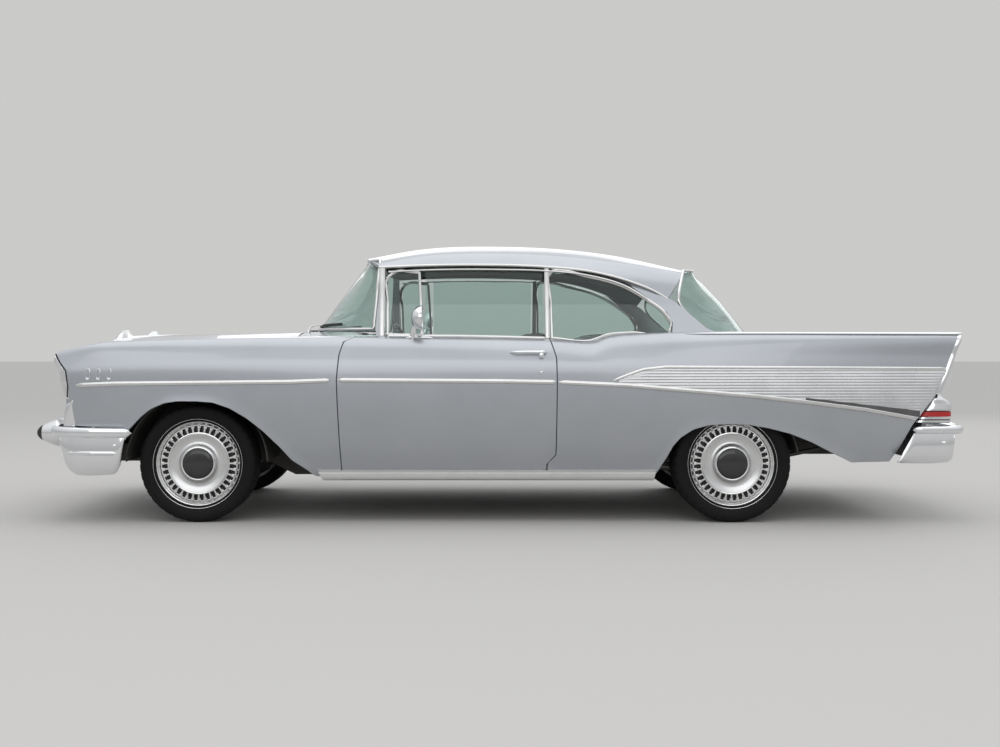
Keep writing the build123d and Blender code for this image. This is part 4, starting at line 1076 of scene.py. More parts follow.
    def lamps(self) -> None:
        """Head lamps: hooded bezel, dished reflector, domed lens, and a black strip that paints the shade
        of the gap round the bezel.

        The bezel runs from a ring round the lens, whose edge stands at
        x = -752 - 62 max(0, sin a)^1.7 at the angle a, out to the fender's own front edge.
        """
        y, z, r = self.lamp_y, self.lamp_z, self.lamp_radius
        bowl = [(-655, 8), (-668, 40), (-700, 78), (-728, r - 7), (-720, r - 3), (-640, 30), (-640, 8)]
        lens = [(-772, .01), (-770, 30), (-762, 62), (-746, r - 8), (-736, r - 5), (-737, r - 9),
                (-756, 58), (-764, 28), (-766, .01)]
        a = around(144)
        lead = -752 - 62 * np.clip(np.sin(a), 0, 1) ** 1.7 + 22 * np.clip(-np.sin(a), 0, 1) ** 2
        rim = self._ray_limit(a, 676, 916, 3)
        ring = r + 3 + 10 * np.clip(np.sin(a), 0, 1) ** 2
        rows = []
        for share, back in ((1, 26), (1, 2), (.93, 0), (.7, 0), (.4, 0), (.15, 0), (0, 0)):
            radius = ring + share * (rim - ring)
            yy, zz = y + radius * np.cos(a), z + radius * np.sin(a)
            outer = falls(swapped(FENDER_FRONT), zz) - 13
            x = lead + (outer - lead) * share ** 1.5 + back
            rows.append(xyz(x, yy, zz))
        for depth, radius in ((5, r - 1), (26, r - 2), (40, r + 4), (60, r + 14)):
            x = np.maximum(lead + depth, -746 + depth)
            rows.append(xyz(x, y + radius * np.cos(a), z + radius * np.sin(a)))
        self._pair(Soup().grid(np.array(rows), wrap_rows=True, wrap_cols=True), "lamp_bezels", CHROME,
                   ["headlamps"])
        # Black strip along each fender's front edge: painted shade of the gap between the lamp bezel and
        # the fender.
        zs = np.linspace(684, 918, 30)
        edge = falls(swapped(FENDER_FRONT), zs)
        painted_gap_shade = sweep(xyz(edge - 4, SIDE.half_width(edge, zs) - 4, zs), oval(4.5, 4, 8),
                     up=(0, 1, 0))
        self._pair(painted_gap_shade, "lamp_seals", BLACK_RUBBER_AND_SHADE)
        self._pair(turned(bowl, (0, y, z), 64, Axis.X, closed=True), "lamp_reflectors", CHROME)
        self._pair(turned(lens, (0, y, z), 64, Axis.X), "lamp_lenses", LAMP_GLASS)

    def _ray_limit(self, a: Array, z_low: float, z_high: float, inset: float) -> Array:
        """Distance from the lamp's middle to the fender's outline, along each angle.

        Args:
            a: angles.
            z_low, z_high: heights between which the fender's face lies.
            inset: distance kept from the fender's side.

        Returns:
            Array of distances.
        """
        r = np.linspace(self.lamp_radius + 2, 420, 400)
        yy = self.lamp_y + r[None] * np.cos(a)[:, None]
        zz = self.lamp_z + r[None] * np.sin(a)[:, None]
        limit = SIDE.half_width(falls(swapped(FENDER_FRONT), zz), zz) - inset
        out = (yy > limit) | (yy < 614) | (zz < z_low) | (zz > z_high)
        return r[np.argmax(out, axis=1)]

    def noses(self) -> None:
        """Front face of each fender, from the lamp's rim out to the fender, hood and grille."""
        a = around(144)
        inner = self.lamp_radius + 2
        v = np.linspace(0, 1, 14)[None]
        radius = inner + v * (self._ray_limit(a, 540, 906, 5)[:, None] - inner)
        y = self.lamp_y + radius * np.cos(a)[:, None]
        z = self.lamp_z + radius * np.sin(a)[:, None]
        grid = xyz(falls(swapped(FENDER_FRONT), z) + 6, y, z)
        soup = Soup().grid(grid, wrap_rows=True).grid(grid + (5, 0, 0), wrap_rows=True, flip=True)
        self._pair(soup, "fender_noses", SILVER)
        u, v = spread(np.linspace(0, 1, 16), np.linspace(0, 1, 24))
        z = 540 + 330 * v
        lead = np.interp(z, (540, 700, 800, 870), (-786, -792, -786, -762))
        x = lead + u * (falls(swapped(FENDER_FRONT), z) + 8 - lead)
        cheek = Soup().shell(xyz(x, 607 + 7 * u ** 2, z), 4, 1)
        self._pair(cheek, "grille_cheeks", SILVER)

    def corners(self) -> None:
        """Bright wing round each fender's foot, and the shelf over the bumper between them."""
        u, v = spread(np.linspace(0, 1, 20), np.linspace(0, 1, 24))
        z = 527 + (138 - 26 * (1 - u) ** 2.5) * v
        ahead = np.interp(z, (527, 600, 640, 662), (-734, -728, -716, -698))
        behind = falls(swapped(FENDER_FRONT), z) + np.interp(z, (527, 640, 662), (10, 14, 24))
        x = ahead + u * (behind - ahead)
        y = SIDE.half_width(behind, z) + 3.5 - 34 * (1 - u) ** 2.4
        self._pair(Soup().shell(xyz(x, y, z), 6, 2), "grille_wings", CHROME)
        half = path_through(((-706, 812, 548), (-740, 770, 548), (-786, 690, 547), (-812, 560, 546),
                             (-824, 300, 546), (-828, 0, 546)), 60)
        line = np.concatenate([half, (half * (1, -1, 1))[-2::-1]])
        size = np.clip(np.minimum(np.linspace(0, 1, 119), np.linspace(1, 0, 119)) * 20 + .55, 0, 1)
        sweep(line, oval(24, 21, 20, .75), scale=size).piece("bumper_shelf", CHROME, "body")

    def liners(self) -> None:
        """Dark wells round the front wheels and the walls between them and the engine."""
        inner, reach = self.well_inner, self.well_radius
        a, y = spread(np.linspace(.04, math.pi - .04, 40), np.linspace(inner, 862, 14))
        x, z = reach * np.cos(a), AXLE_HEIGHT + reach * np.sin(a)
        tub = Soup().shell(xyz(x, y, z), 5, 1, (0, 0, 1))
        a, r = spread(np.linspace(.0, math.pi, 40), np.linspace(.24, 1, 8))
        x, z = reach * np.cos(a) * r, 402 + (AXLE_HEIGHT + reach - 402) * np.sin(a) * r
        wall = Soup().shell(xyz(x, inner, z), 5, 1, (0, 1, 0))
        x, v = spread(np.linspace(-470, 690, 30), np.linspace(0, 1, 12))
        y = np.interp(v, (0, .2, .45, .6, 1), (inner, 452, 560, 636, 650))
        z = np.interp(v, (0, .2, .45, .6, 1), (640, 708, 722, 760, 960))
        apron = Soup().shell(xyz(x, y, z), 4, 1, (0, -1, 0))
        self._pair(joined(tub, wall, apron), "front_wheel_wells", UNDERSIDE)

    def cowl(self) -> None:
        """Black boxes that paint the shade in the air intake's slots ahead of the windshield, wiper arms
        and blades.
        """
        # Dark boxes laid on the cowl: painted shade in place of the intake slots' openings.
        ys = np.arange(-240, 241, 14.0)
        drop = 1054 - 10 * (ys / 400) ** 2
        slats = boxes(xyz(548.0, ys, drop + 1.2),
                      np.tile((34.0, 6.0, 3.0), (len(ys), 1)))
        slats.piece("cowl_slots", BLACK_RUBBER_AND_SHADE, "body", closed=False)
        glass = Greenhouse.glass_bow(Greenhouse.shield, np.array([1078.0]))[0]
        arms, blades = [], []
        for side in (-1, 1):
            y = np.linspace(150, 620, 40) * side
            order = np.argsort(glass[:, 1])
            x = np.interp(y, glass[order, 1], glass[order, 0]) - 9
            z = np.linspace(1074, 1086, 40)
            blades.append(sweep(xyz(x, y, z), oval(4, 8, 10, .7)))
            arms.append(sweep(path_through(((553, 430 * side, 1048), (560, 424 * side, 1064),
                                            (580, 400 * side, 1080), (x[20] - 5, y[20], z[20] + 4)), 24),
                              oval(5, 3.5, 10), scale=np.linspace(1.4, .8, 24)))
            arms.append(turned([(1030, 13), (1048, 13), (1054, 9), (1056, .01)], (553, 430 * side, 0),
                               24, Axis.Z))
        joined(*arms).piece("wiper_arms", STAINLESS, "body")
        joined(*blades).piece("wiper_blades", BLACK_RUBBER_AND_SHADE, "body")

    @staticmethod
    def _pair(soup: Soup, name: str, finish: Finish, replaces: Sequence[str] = ()) -> None:
        """One piece for both sides of the car."""
        soup.both().piece(name, finish, "body", replaces)

    def build(self) -> None:
        """Builds the whole front end."""
        self.fenders()
        self.hood()
        self.ornaments()
        self.louvres()
        self.lamps()
        self.noses()
        self.corners()
        self.liners()
        self.cowl()


@dataclass
class Doors:
    """Door skins, inner cards, handles and mirrors.

    Attributes:
        skin: thickness of a door at its turned edges.
        mirror: half-width and height of a mirror head's axis.
        handle: stations of the pull handle's two ends.
    """

    skin: float = 24.0
    mirror: tuple[float, float] = (868.0, 1116.0)
    handle: tuple[float, float] = (1706.0, 1902.0)

    def build(self) -> None:
        """Builds both doors; everything on a door rides on it."""
        us, vs = np.linspace(0, 1, 64), np.linspace(0, 1, 48)
        low = ((700, 290), (1880, 290), (2000, 300))
        grid = SIDE.panel(DOOR_FRONT, DOOR_REAR, low, 6.0, us, vs)
        skin = Soup().shell(grid, self.skin, 3)
        fittings = (("door_card_", self._card(), VINYL), ("door_handle_", self._handle(), CHROME),
                    ("door_mirror_", self._mirror(), CHROME),
                    ("mirror_face_", self._mirror_face(), CHROME))
        for side in Side:
            body = "door_" + side.tag
            skin.on(side).piece("door_skin_" + side.tag, SILVER, body, [body])
            for name, soup, finish in fittings:
                soup.on(side).piece(name + side.tag, finish, body)

    def _card(self) -> Soup:
        """Inner card: pleated panel between rails, closed to the skin's flange.

        Returns:
            The right door's card.
        """
        x, z = spread(np.linspace(880, 1894, 90), np.linspace(302, 985, 40))
        pleats = 3 * np.abs(np.sin(math.pi * (x - 880) / 46)) * np.exp(-((z - 700) / 130) ** 8)
        rest = 26 * np.exp(-((z - 660) / 26) ** 4) * np.exp(-((x - 1390) / 260) ** 6)
        y = SIDE.half_width(x, z) - 72 - pleats - rest
        y = np.minimum(y, 852)
        return Soup().shell(xyz(x, y, z), 30, 3, (0, -1, 0))

    def _handle(self) -> Soup:
        """Pull handle with its two feet, push button and key lock.

        Returns:
            The right door's handle.
        """
        xs = np.linspace(*self.handle, 30)
        z = 930 + 2 * np.sin((xs - self.handle[0]) / 196 * math.pi)
        y = SIDE.half_width(xs, z)
        out = 26 * np.clip(np.minimum((xs - 1700) / 40, (1908 - xs) / 30), 0, 1) ** .5
        size = np.interp(xs, (1706, 1740, 1860, 1885, 1902), (.5, .9, 1.1, 1.35, 1.0))
        soup = sweep(xyz(xs, y + out - 6, z), oval(8, 6, 14), up=(0, 1, 0), scale=size)
        for x, zz, radius, proud in ((1874.0, 914.0, 13, 26), (1874.0, 820.0, 9, 4)):
            face = SIDE.half_width_at(x, zz)
            knob = turned([(face - 6, radius * .9), (face + proud - 4, radius * .9),
                           (face + proud - 3, radius), (face + proud, radius * .7),
                           (face + proud + 1, .01)], (x, 0, zz), 28)
            soup.include(knob)
        return soup

    def _mirror(self) -> Soup:
        """Long foot on the belt, leaning pedestal and dished round head.

        Returns:
            The right door's mirror without its glass.
        """
        foot = sweep(np.array([(1134, 836, 1008), (1160, 840, 1011), (1262, 841, 1010), (1290, 836, 1006)]),
                     oval(17, 8, 16), scale=np.array([.3, 1, 1, .3]))
        stalk = sweep(path_through(((1186, 842, 1008), (1180, 846, 1030), (1182, 852, 1052),
                                    (1192, 860, 1070)), 16),
                      oval(13, 16, 16), up=(1, 0, 0), scale=np.linspace(1.5, .7, 16))
        head = turned([(1168, .01), (1172, 30), (1184, 50), (1204, 64), (1220, 69), (1227, 68), (1228, 65),
                       (1222, 62), (1216, .01)], (0, *self.mirror), 48, Axis.X)
        return joined(foot, stalk, head)

    def _mirror_face(self) -> Soup:
        """Flat mirror glass set in the head."""
        return turned([(1217, .01), (1224, 61), (1222, 62), (1214, .01)], (0, *self.mirror), 48, Axis.X)


@dataclass
class Quarters:
    """Quarter panels with their fins."""

    skin: float = 22.0

    def build(self) -> None:
        """Builds both quarter panels."""
        us = steps((0, .24, 14), (.24, .72, 56), (.72, 1, 26))
        grid = SIDE.panel(DOOR_REAR, TAIL_EDGE, REAR_ARCH, 6.0, us, np.linspace(0, 1, 64))
        grid = with_lip(grid, REAR_ARCH[1:-3])
        soup = Soup().shell(grid, self.skin)
        for side in Side:
            soup.on(side).piece("quarter_" + side.tag, SILVER, "body", ["quarter_panel_" + side.tag])


@dataclass
class Greenhouse:
    """Roof, headliner, windows, pillars and their bright frames.

    Attributes:
        shield, backlight: levels of the two wrapped panes, as glass_bow reads them.
        roof_half: half-width of the roof.
        rows: for each half-width, (station, height) of five points along the roof.
    """

    roof_half: float = 692.0
    shield: Table = ((1050, 578, 522, 684, 747, 953), (1250, 724, 500, 800, 725, 972),
                     (1452, 872, 470, 920, 640, 985))
    backlight: Table = ((1030, 3140, 500, 3040, 720, 2820), (1225, 2970, 480, 2890, 700, 2650),
                        (1392, 2782, 470, 2756, 610, 2690))
    rows: Array = field(default_factory=lambda: np.array([
        (0, 872, 1474, 1200, 1530, 1650, 1545, 2300, 1497, 2772, 1394),
        (400, 892, 1466, 1210, 1522, 1650, 1538, 2290, 1490, 2752, 1391),
        (610, 940, 1440, 1230, 1480, 1640, 1492, 2270, 1443, 2692, 1376),
        (668, 968, 1422, 1250, 1446, 1640, 1452, 2240, 1395, 2640, 1300),
        (692, 985, 1408, 1250, 1417, 1640, 1418, 2162, 1377, 2590, 1226)], float))

    def roof_grid(self, sunk: float = 0.0, share: float = 1.0) -> Array:
        """Roof as a smooth table of half-width, run from front to rear by chord_curve.

        Args:
            sunk: how far the grid lies below the roof.
            share: share of the roof's width that it covers.

        Returns:
            Grid (80, 73, 3).
        """
        t = np.linspace(-1, 1, 73)
        y = self.roof_half * share * signed(t, .8)
        table = smooth_curve(self.rows, np.abs(y))
        w = np.linspace(0, 4, 80)
        ctrl = np.broadcast_to(table.reshape(1, len(y), 5, 2), (80, len(y), 5, 2))
        xz = chord_curve(ctrl, np.broadcast_to(w[:, None], (80, len(y))))
        yy = np.broadcast_to(y[None], xz.shape[:2])
        return xyz(xz[..., 0], yy, xz[..., 1] - sunk)

    def roof(self) -> None:
        """Builds the roof and the headliner under it."""
        Soup().shell(self.roof_grid(), 16, 3, (0, 0, 1)).piece("roof_skin", SILVER, "body", ["roof"])
        liner = self.roof_grid(40, .93)[4:-4]
        Soup().shell(liner, 5, 1, (0, 0, 1)).piece("headliner", HEADLINER, "body")

    @staticmethod
    def glass_bow(sections: Sequence[Sequence[float]], heights: Array, wide: int = 65) -> Array:
        """Wrapped pane: each level's bow, and levels joined by smooth_curve of the height.

        A level gives height, middle station, half-width and station where it turns, and
        half-width and station of its end.

        Args:
            sections: table of levels, rising.
            heights: heights wanted.
            wide: number of points across.

        Returns:
            Grid (heights, wide, 3).
        """
        table = smooth_curve(np.asarray(sections, float), heights)
        xm, yt, xt, ye, xe = [table[:, k] for k in range(5)]
        s = np.sign(xe[0] - xm[0])
        xc, yc = (xt + xe) / 2 - s * 18, (yt + ye) / 2 + 22
        zero = np.zeros_like(xm)
        ctrl = np.stack([xe, -ye, xc, -yc, xt, -yt, xm, zero, xt, yt, xc, yc, xe, ye], -1)
        ctrl = ctrl.reshape(len(heights), 1, 7, 2)
        w = np.linspace(0, 6, wide)
        flat = chord_curve(np.broadcast_to(ctrl, (len(heights), wide, 7, 2)),
                           np.broadcast_to(w, (len(heights), wide)))
        z = np.broadcast_to(heights[:, None], flat.shape[:2])
        return xyz(flat[..., 0], flat[..., 1], z)


    def panes(self) -> None:
        """Builds the wrapped panes and their bright surrounds."""
        front = self.glass_bow(self.shield, np.linspace(1058, 1446, 24))
        rear = self.glass_bow(self.backlight, np.linspace(1036, 1388, 24))
        Soup().shell(front, 5, 1, (-1, 0, 0)).piece("windshield_pane", GLAZING, "body", ["windshield"])
        Soup().shell(rear, 5, 1, (1, 0, 0)).piece("rear_window_pane", GLAZING, "body", ["rear_window"])
        for grid, name in ((front, "windshield_frame"), (rear, "rear_window_frame")):
            edge = np.concatenate([grid[0], grid[1:, -1], grid[-1, -2::-1], grid[-2:0:-1, 0]])
            sweep(edge, oval(9, 8, 10), closed=True).piece(name, STAINLESS, "body")

    @staticmethod
    def lean(x: Array, z: Array, depth: float = 0.0) -> Array:
        """Points of the leaning side-glass plane, depth inside its outer line."""
        y = 806 - .28 * (np.asarray(z, float) - 1000) - depth
        return xyz(np.asarray(x, float), y, np.asarray(z, float))

    def side_frames(self) -> None:
        """Bright frames round the side windows, the drip rail and the pillars."""
        def along(points: Line, count: int, depth: float = 0.0) -> Array:
            """Smooth line through side-view points, laid on the leaning glass."""
            line = path_through(points, count)
            return self.lean(line[:, 0], line[:, 1], depth)

        vent = Soup()
        for part in (
            sweep(along(((1036, 1024), (1034, 1190), (1040, 1352), (1058, 1368), (1206, 1372)), 40, 4),
                  oval(7, 9, 10, .6)),
            sweep(along(((1206, 1372), (1216, 1200), (1222, 1020)), 20, 4), oval(8, 10, 10, .6)),
            sweep(along(((1036, 1026), (1130, 1024), (1220, 1022)), 12, 4), oval(6, 8, 10, .6)),
            sweep(along(((1040, 1018), (1450, 1016), (1900, 1006)), 40, -6), oval(5, 9, 10, .6)),
        ):
            vent.include(part)
        for side in Side:
            vent.on(side).piece("vent_frame_" + side.tag, STAINLESS, "door_" + side.tag)
        fixed = Soup()
        quarter = ((1938, 1004), (1936, 1180), (1936, 1372), (2155, 1348), (2362, 1284), (2472, 1216),
                   (2566, 1140), (2594, 1088), (2586, 1040), (2380, 1034), (2242, 1022), (2155, 992),
                   (1938, 1004))
        drip = np.array([(980, 694, 1402), (1250, 697, 1412), (1543, 699, 1415), (1904, 698, 1404),
                         (2162, 697, 1378), (2369, 696, 1326), (2523, 695, 1264), (2592, 694, 1224)], float)
        top = np.array([(1034, 704, 1376), (1240, 702, 1386), (1650, 701, 1389), (1904, 703, 1382),
                        (2155, 712, 1354), (2362, 733, 1290), (2470, 751, 1222)], float)
        for part in (
            sweep(along(quarter, 120, 3), oval(7, 10, 10, .6)),
            sweep(path_through(drip, 80), oval(9, 8, 12, .7)),
            sweep(path_through(top, 70), oval(12, 6, 12, .7)),
            sweep(self.lean((1914,) * 12, np.linspace(1004, 1392, 12), 2), oval(14, 12, 12, .6),
                  up=(0, 1, 0)),
            sweep(self.lean(np.linspace(1004, 1000, 14), np.linspace(1016, 1396, 14), 4),
                  oval(17, 14, 12, .6), up=(0, 1, 0)),
        ):
            fixed.include(part)
        fixed.both().piece("window_brightwork", STAINLESS, "body")

    def build(self) -> None:
        """Builds the roof, glass and frames and dresses the kept panes."""
        self.roof()
        self.panes()
        self.side_frames()
        dress(["window_pillars"], SILVER)
        dress(["door_glass_left", "door_glass_right", "quarter_glass"], GLAZING)


@dataclass
class TailEnd:
    """Trunk lid, deck, fins' caps, tail lamps and rear panel.

    Attributes:
        deck_edge: station and height of the deck beside the trunk lid.
        rear_line: height and station of the tail lamps' rear outline.
    """

    deck_edge: Line = ((2560, 1033), (2760, 1029), (3180, 1001), (3680, 955), (4000, 905), (4110, 850))
    rear_line: Line = ((543, 4112), (580, 4116), (620, 4116), (646, 4112), (662, 4100), (674, 4082),
                       (684, 4064), (698, 4053), (718, 4050))

    def lid_height(self, y: Array, w: Array) -> Array:
        """Section of the lid: deck, rounded corner and rear face; w runs 0 to 4.

        Args:
            y: distances from the centre plane.
            w: section places, of y's shape.

        Returns:
            Stations and heights (..., 2).
        """
        table = np.array([
            (0, 3160, 1047, 3600, 1018, 3940, 950, 4040, 868, 4058, 700),
            (320, 3160, 1040, 3600, 1011, 3932, 944, 4034, 864, 4052, 700),
            (640, 3160, 1018, 3600, 985, 3915, 920, 4012, 850, 4036, 700)], float)
        ctrl = smooth_curve(table, np.abs(y)).reshape(*y.shape, 5, 2)
        return chord_curve(ctrl, w)

    def lid(self) -> None:
        """Builds the trunk lid."""
        t = np.linspace(-1, 1, 61)
        w = np.linspace(0, 4, 70)
        ww, tt = spread(w, t)
        y = tt * np.interp(ww, (0, 4), (640, 622))
        xz = self.lid_height(y, ww)
        Soup().shell(xyz(xz[..., 0], y, xz[..., 1]), 22, 3, (1, 0, 1)).piece(
            "trunk_panel", SILVER, "trunk_lid", ["trunk_lid"])


    def decks(self) -> None:
        """Valley between each fin's inner side and the trunk lid, and the floor of the trunk's sides."""
        x, v = spread(np.linspace(2600, 4100, 80), np.linspace(0, 1, 16))
        side = SIDE.point(x[:, 0], np.full(80, 6.0))
        low_y = np.interp(x[:, 0], (2600, 2860, 3150, 4100), (735, 706, 652, 636))
        low_z = falls(self.deck_edge, x[:, 0]) - 3
        y = side[:, 0, None] + 4 + v * (low_y - side[:, 0] - 4)[:, None]
        z = side[:, 1, None] - 3 + (1 - (1 - v) ** 1.8) * (low_z - side[:, 1] + 3)[:, None]
        Soup().shell(xyz(x, y, z), 5, 1, (0, 0, 1)).both().piece("fin_decks", SILVER, "body")
        x, y = spread(np.linspace(3270, 3860, 12), np.linspace(588, 822, 6))
        well = Soup().shell(xyz(x, y, 513.0), 3, 1, (0, 0, 1))
        well.both().piece("trunk_wells", UNDERSIDE, "body")

    def fin_caps(self) -> None:
        """Bright moulding along each fin's edge, down its tail and round the lamp."""
        xs = np.linspace(2660, 4166, 60)
        top = SIDE.point(np.minimum(xs, 4160), np.full(60, 4.55))
        path = xyz(xs, top[:, 0], top[:, 1] + 1)
        cap = sweep(path, oval(11, 5, 14), scale=np.interp(xs, (2660, 2760, 4150, 4166), (.3, 1, 1.5, 1.0)))
        v, z = spread(np.linspace(0, 1, 18), np.linspace(706, 1022, 60))
        edge = np.interp(z, (706, 1000, 1034), (4043, 4158, 4167))
        inner = np.interp(z, (706, 713, 998, 1022), (4013, 4015, 4130, 4140))
        side = SIDE.half_width(inner, z)
        x = np.where(v < .6, inner + (edge - inner) * (v / .6), edge + 2 * np.sin((v - .6) / .4 * math.pi))
        y = side + np.where(v < .6, 4 * np.sin(v / .6 * math.pi / 2) - 6 * (v / .6) ** 5,
                            -2 - 34 * ((v - .6) / .4) ** 1.3)
        Soup().shell(xyz(x, y, z), 6, 2).both().piece("tail_mouldings", CHROME, "body")
        cap.both().piece("fin_mouldings", CHROME, "body")
        ys, zs = spread(np.linspace(0, 1, 12), np.linspace(716, 1018, 30))
        x = np.interp(zs, (711, 1000, 1034), (4034, 4138, 4144))
        outer = np.minimum(SIDE.half_width(x - 10, zs), 884) - 8
        inner = np.interp(zs, (700, 930, 1030), (640, 800, 846))
        y = inner + ys * (outer - inner)
        Soup().shell(xyz(x, y, zs), 10, 2, (1, 0, 0)).both().piece("fin_backs", SILVER, "body")


    def lamps(self) -> None:
        """Bright lamp housing under each fin, belled out from the tail moulding, with its lens.

        At each height the section is a superellipse of power .6 between the tail's edge and the
        rear line, whose half-width grows from the moulding's down to the lens.
        """
        z = np.linspace(718, 545, 60)
        a = around(56)
        rear = np.interp(z, *np.array(self.rear_line).T)
        edge = np.interp(z, swapped(TAIL_EDGE)[:, 0], swapped(TAIL_EDGE)[:, 1]) + 2
        front = np.minimum(edge, rear - 18)
        half = np.interp(z, (545, 620, 650, 672, 690, 704, 718), (53, 53, 50, 41, 27, 17, 12))
        c, s = np.cos(a), np.sin(a)
        x = ((front + rear) / 2)[:, None] + ((rear - front) / 2)[:, None] * signed(c, .6)
        y = np.interp(z, (545, 650, 718), (826, 826, 850))[:, None] \
            + half[:, None] * signed(s, .6)
        grid = xyz(x, y, z[:, None])

        def cut(low: int, high: int, shrink: float = 1.0) -> Soup:
            """Slice of the lamp between two levels, closed at both ends.

            Args:
                low, high: first level and the one after the last.
                shrink: size of the section.

            Returns:
                The closed slice.
            """
            part = grid[low:high].copy()
            centre = part.mean(1, keepdims=True)
            part[..., :2] = centre[..., :2] + (part[..., :2] - centre[..., :2]) * shrink
            return Soup().grid(with_ends(part), wrap_cols=True)

        cut(0, 37).both().piece("tail_lamp_hoods", CHROME, "body", ["tail_lamps"])
        joined(cut(36, 38, .95), cut(53, 55, .95), cut(58, 60, .95)).both().piece(
            "tail_lamp_seals", BLACK_RUBBER_AND_SHADE, "body")
        cut(38, 48, .975).both().piece("tail_lamp_lenses", RED_LENS, "body")
        cut(48, 53).both().piece("tail_lamp_rims", CHROME, "body")
        cut(54, 59).both().piece("tail_lamp_feet", CHROME, "body")

    def build(self) -> None:
        """Builds the tail."""
        self.lid()
        self.fin_caps()
        self.decks()
        self.lamps()
        dress(["rear_deck", "tail_panel"], SILVER)


@dataclass
class SideTrim:
    """Mouldings that follow the body side, and the fluted panel between them."""

    half: float = 13.0
    proud: float = 10.0

    def strip(self, line: Line, x0: float, x1: float, half: float, proud: float, count: int = 90) -> Soup:
        """Moulding on the side: its section is proud * sin(a) high over half * cos(a).

        Args:
            line: station and height of its middle line.
            x0, x1: its ends.
            half, proud: its half-height and how far it stands out.
            count: number of sections.

        Returns:
            The closed moulding on the right side.
        """
        xs = np.linspace(x0, x1, count)
        a = np.linspace(0, math.pi, 11)
        grow = np.clip(np.minimum((xs - x0) / 30 + .15, (x1 - xs) / 6 + .5), 0, 1)
        zc = falls(line, xs)
        z = zc[:, None] + half * grow[:, None] * np.cos(a)
        x = np.broadcast_to(xs[:, None], z.shape)
        y = SIDE.half_width(x, z) + proud * grow[:, None] * np.sin(a) ** .7 - .5
        grid = xyz(x, np.minimum(y, 949.5), z)
        back = grid[:, -2:0:-1].copy()
        back[..., 1] = SIDE.half_width(back[..., 0], back[..., 2]) - 3
        return Soup().grid(np.concatenate([grid, back], axis=1), wrap_cols=True)

    def build(self) -> None:
        """Builds the spears, the upper mouldings, the fluted panels and the rocker strips."""
        self.strip(SPEAR, -655, 728, self.half, self.proud).both().piece(
            "fender_spears", STAINLESS, "body", ["side_trim"])
        door = self.strip(SPEAR, 774, 1950, self.half, self.proud)
        for side in Side:
            door.on(side).piece("door_spear_" + side.tag, STAINLESS, "door_" + side.tag,
                                ["door_trim_" + side.tag])
        rear = self.strip(SPEAR, 1966, 3910, self.half, self.proud, 120)
        upper = self.strip(UPPER, 2256, 4066, 9.0, 9.0, 120)
        rear.include(upper)
        rear.both().piece("quarter_mouldings", STAINLESS, "body")
        self._fluted()
        self._wedge()
        self._rocker()

    def _fluted(self) -> None:
        """Fluted panel: level ribs 3.4 |sin(pi z / 15.7)|^.8 proud between the two mouldings."""
        x, v = spread(steps((2290, 3900, 62), (3900, 4066, 52)), np.linspace(0, 1, 190))
        low = falls(SPEAR, np.minimum(x, 3917)) + 4
        low = np.where(x > 3917, falls(((3917, 572), (4008, 700), (4066, 832)), x), low)
        z = low + v * (falls(UPPER, x) - 4 - low)
        y = SIDE.half_width(x, z) + 2.5 + 3.4 * np.abs(np.sin(math.pi * (842 - z) / 15.7)) ** .8
        Soup().shell(xyz(x, y, z), 5, .5).both().piece("fluted_panels", FLUTED, "body")

    def _wedge(self) -> None:
        """Dark dart low on the fluted panel."""
        x, v = spread(np.linspace(3301, 3925, 50), np.linspace(0, 1, 6))
        low = falls(SPEAR, x) + 12
        high = np.maximum(np.interp(x, (3301, 3925), (684, 612)), low + 1)
        z = low + v * (high - low)
        y = SIDE.half_width(x, z) + 7
        Soup().shell(xyz(x, y, z), 3, .5).both().piece("quarter_darts", DART, "body")

    def _rocker(self) -> None:
        """Bright rocker strip under the door, rolled along its lower edge."""
        u, v = spread(np.linspace(0, 1, 60), np.linspace(0, 1, 14))
        x = np.interp(u, (0, 1), (652, 2506)) + (1 - v) * np.interp(u, (0, 1), (36, -16))
        z = 230 + v * 60
        y = 842 + 10 * np.sin(v * math.pi) ** .5 + 7 * np.exp(-((v - .9) / .06) ** 2)
        Soup().shell(xyz(x, y, z), 8, 1).both().piece("rocker_strips", STAINLESS, "body")


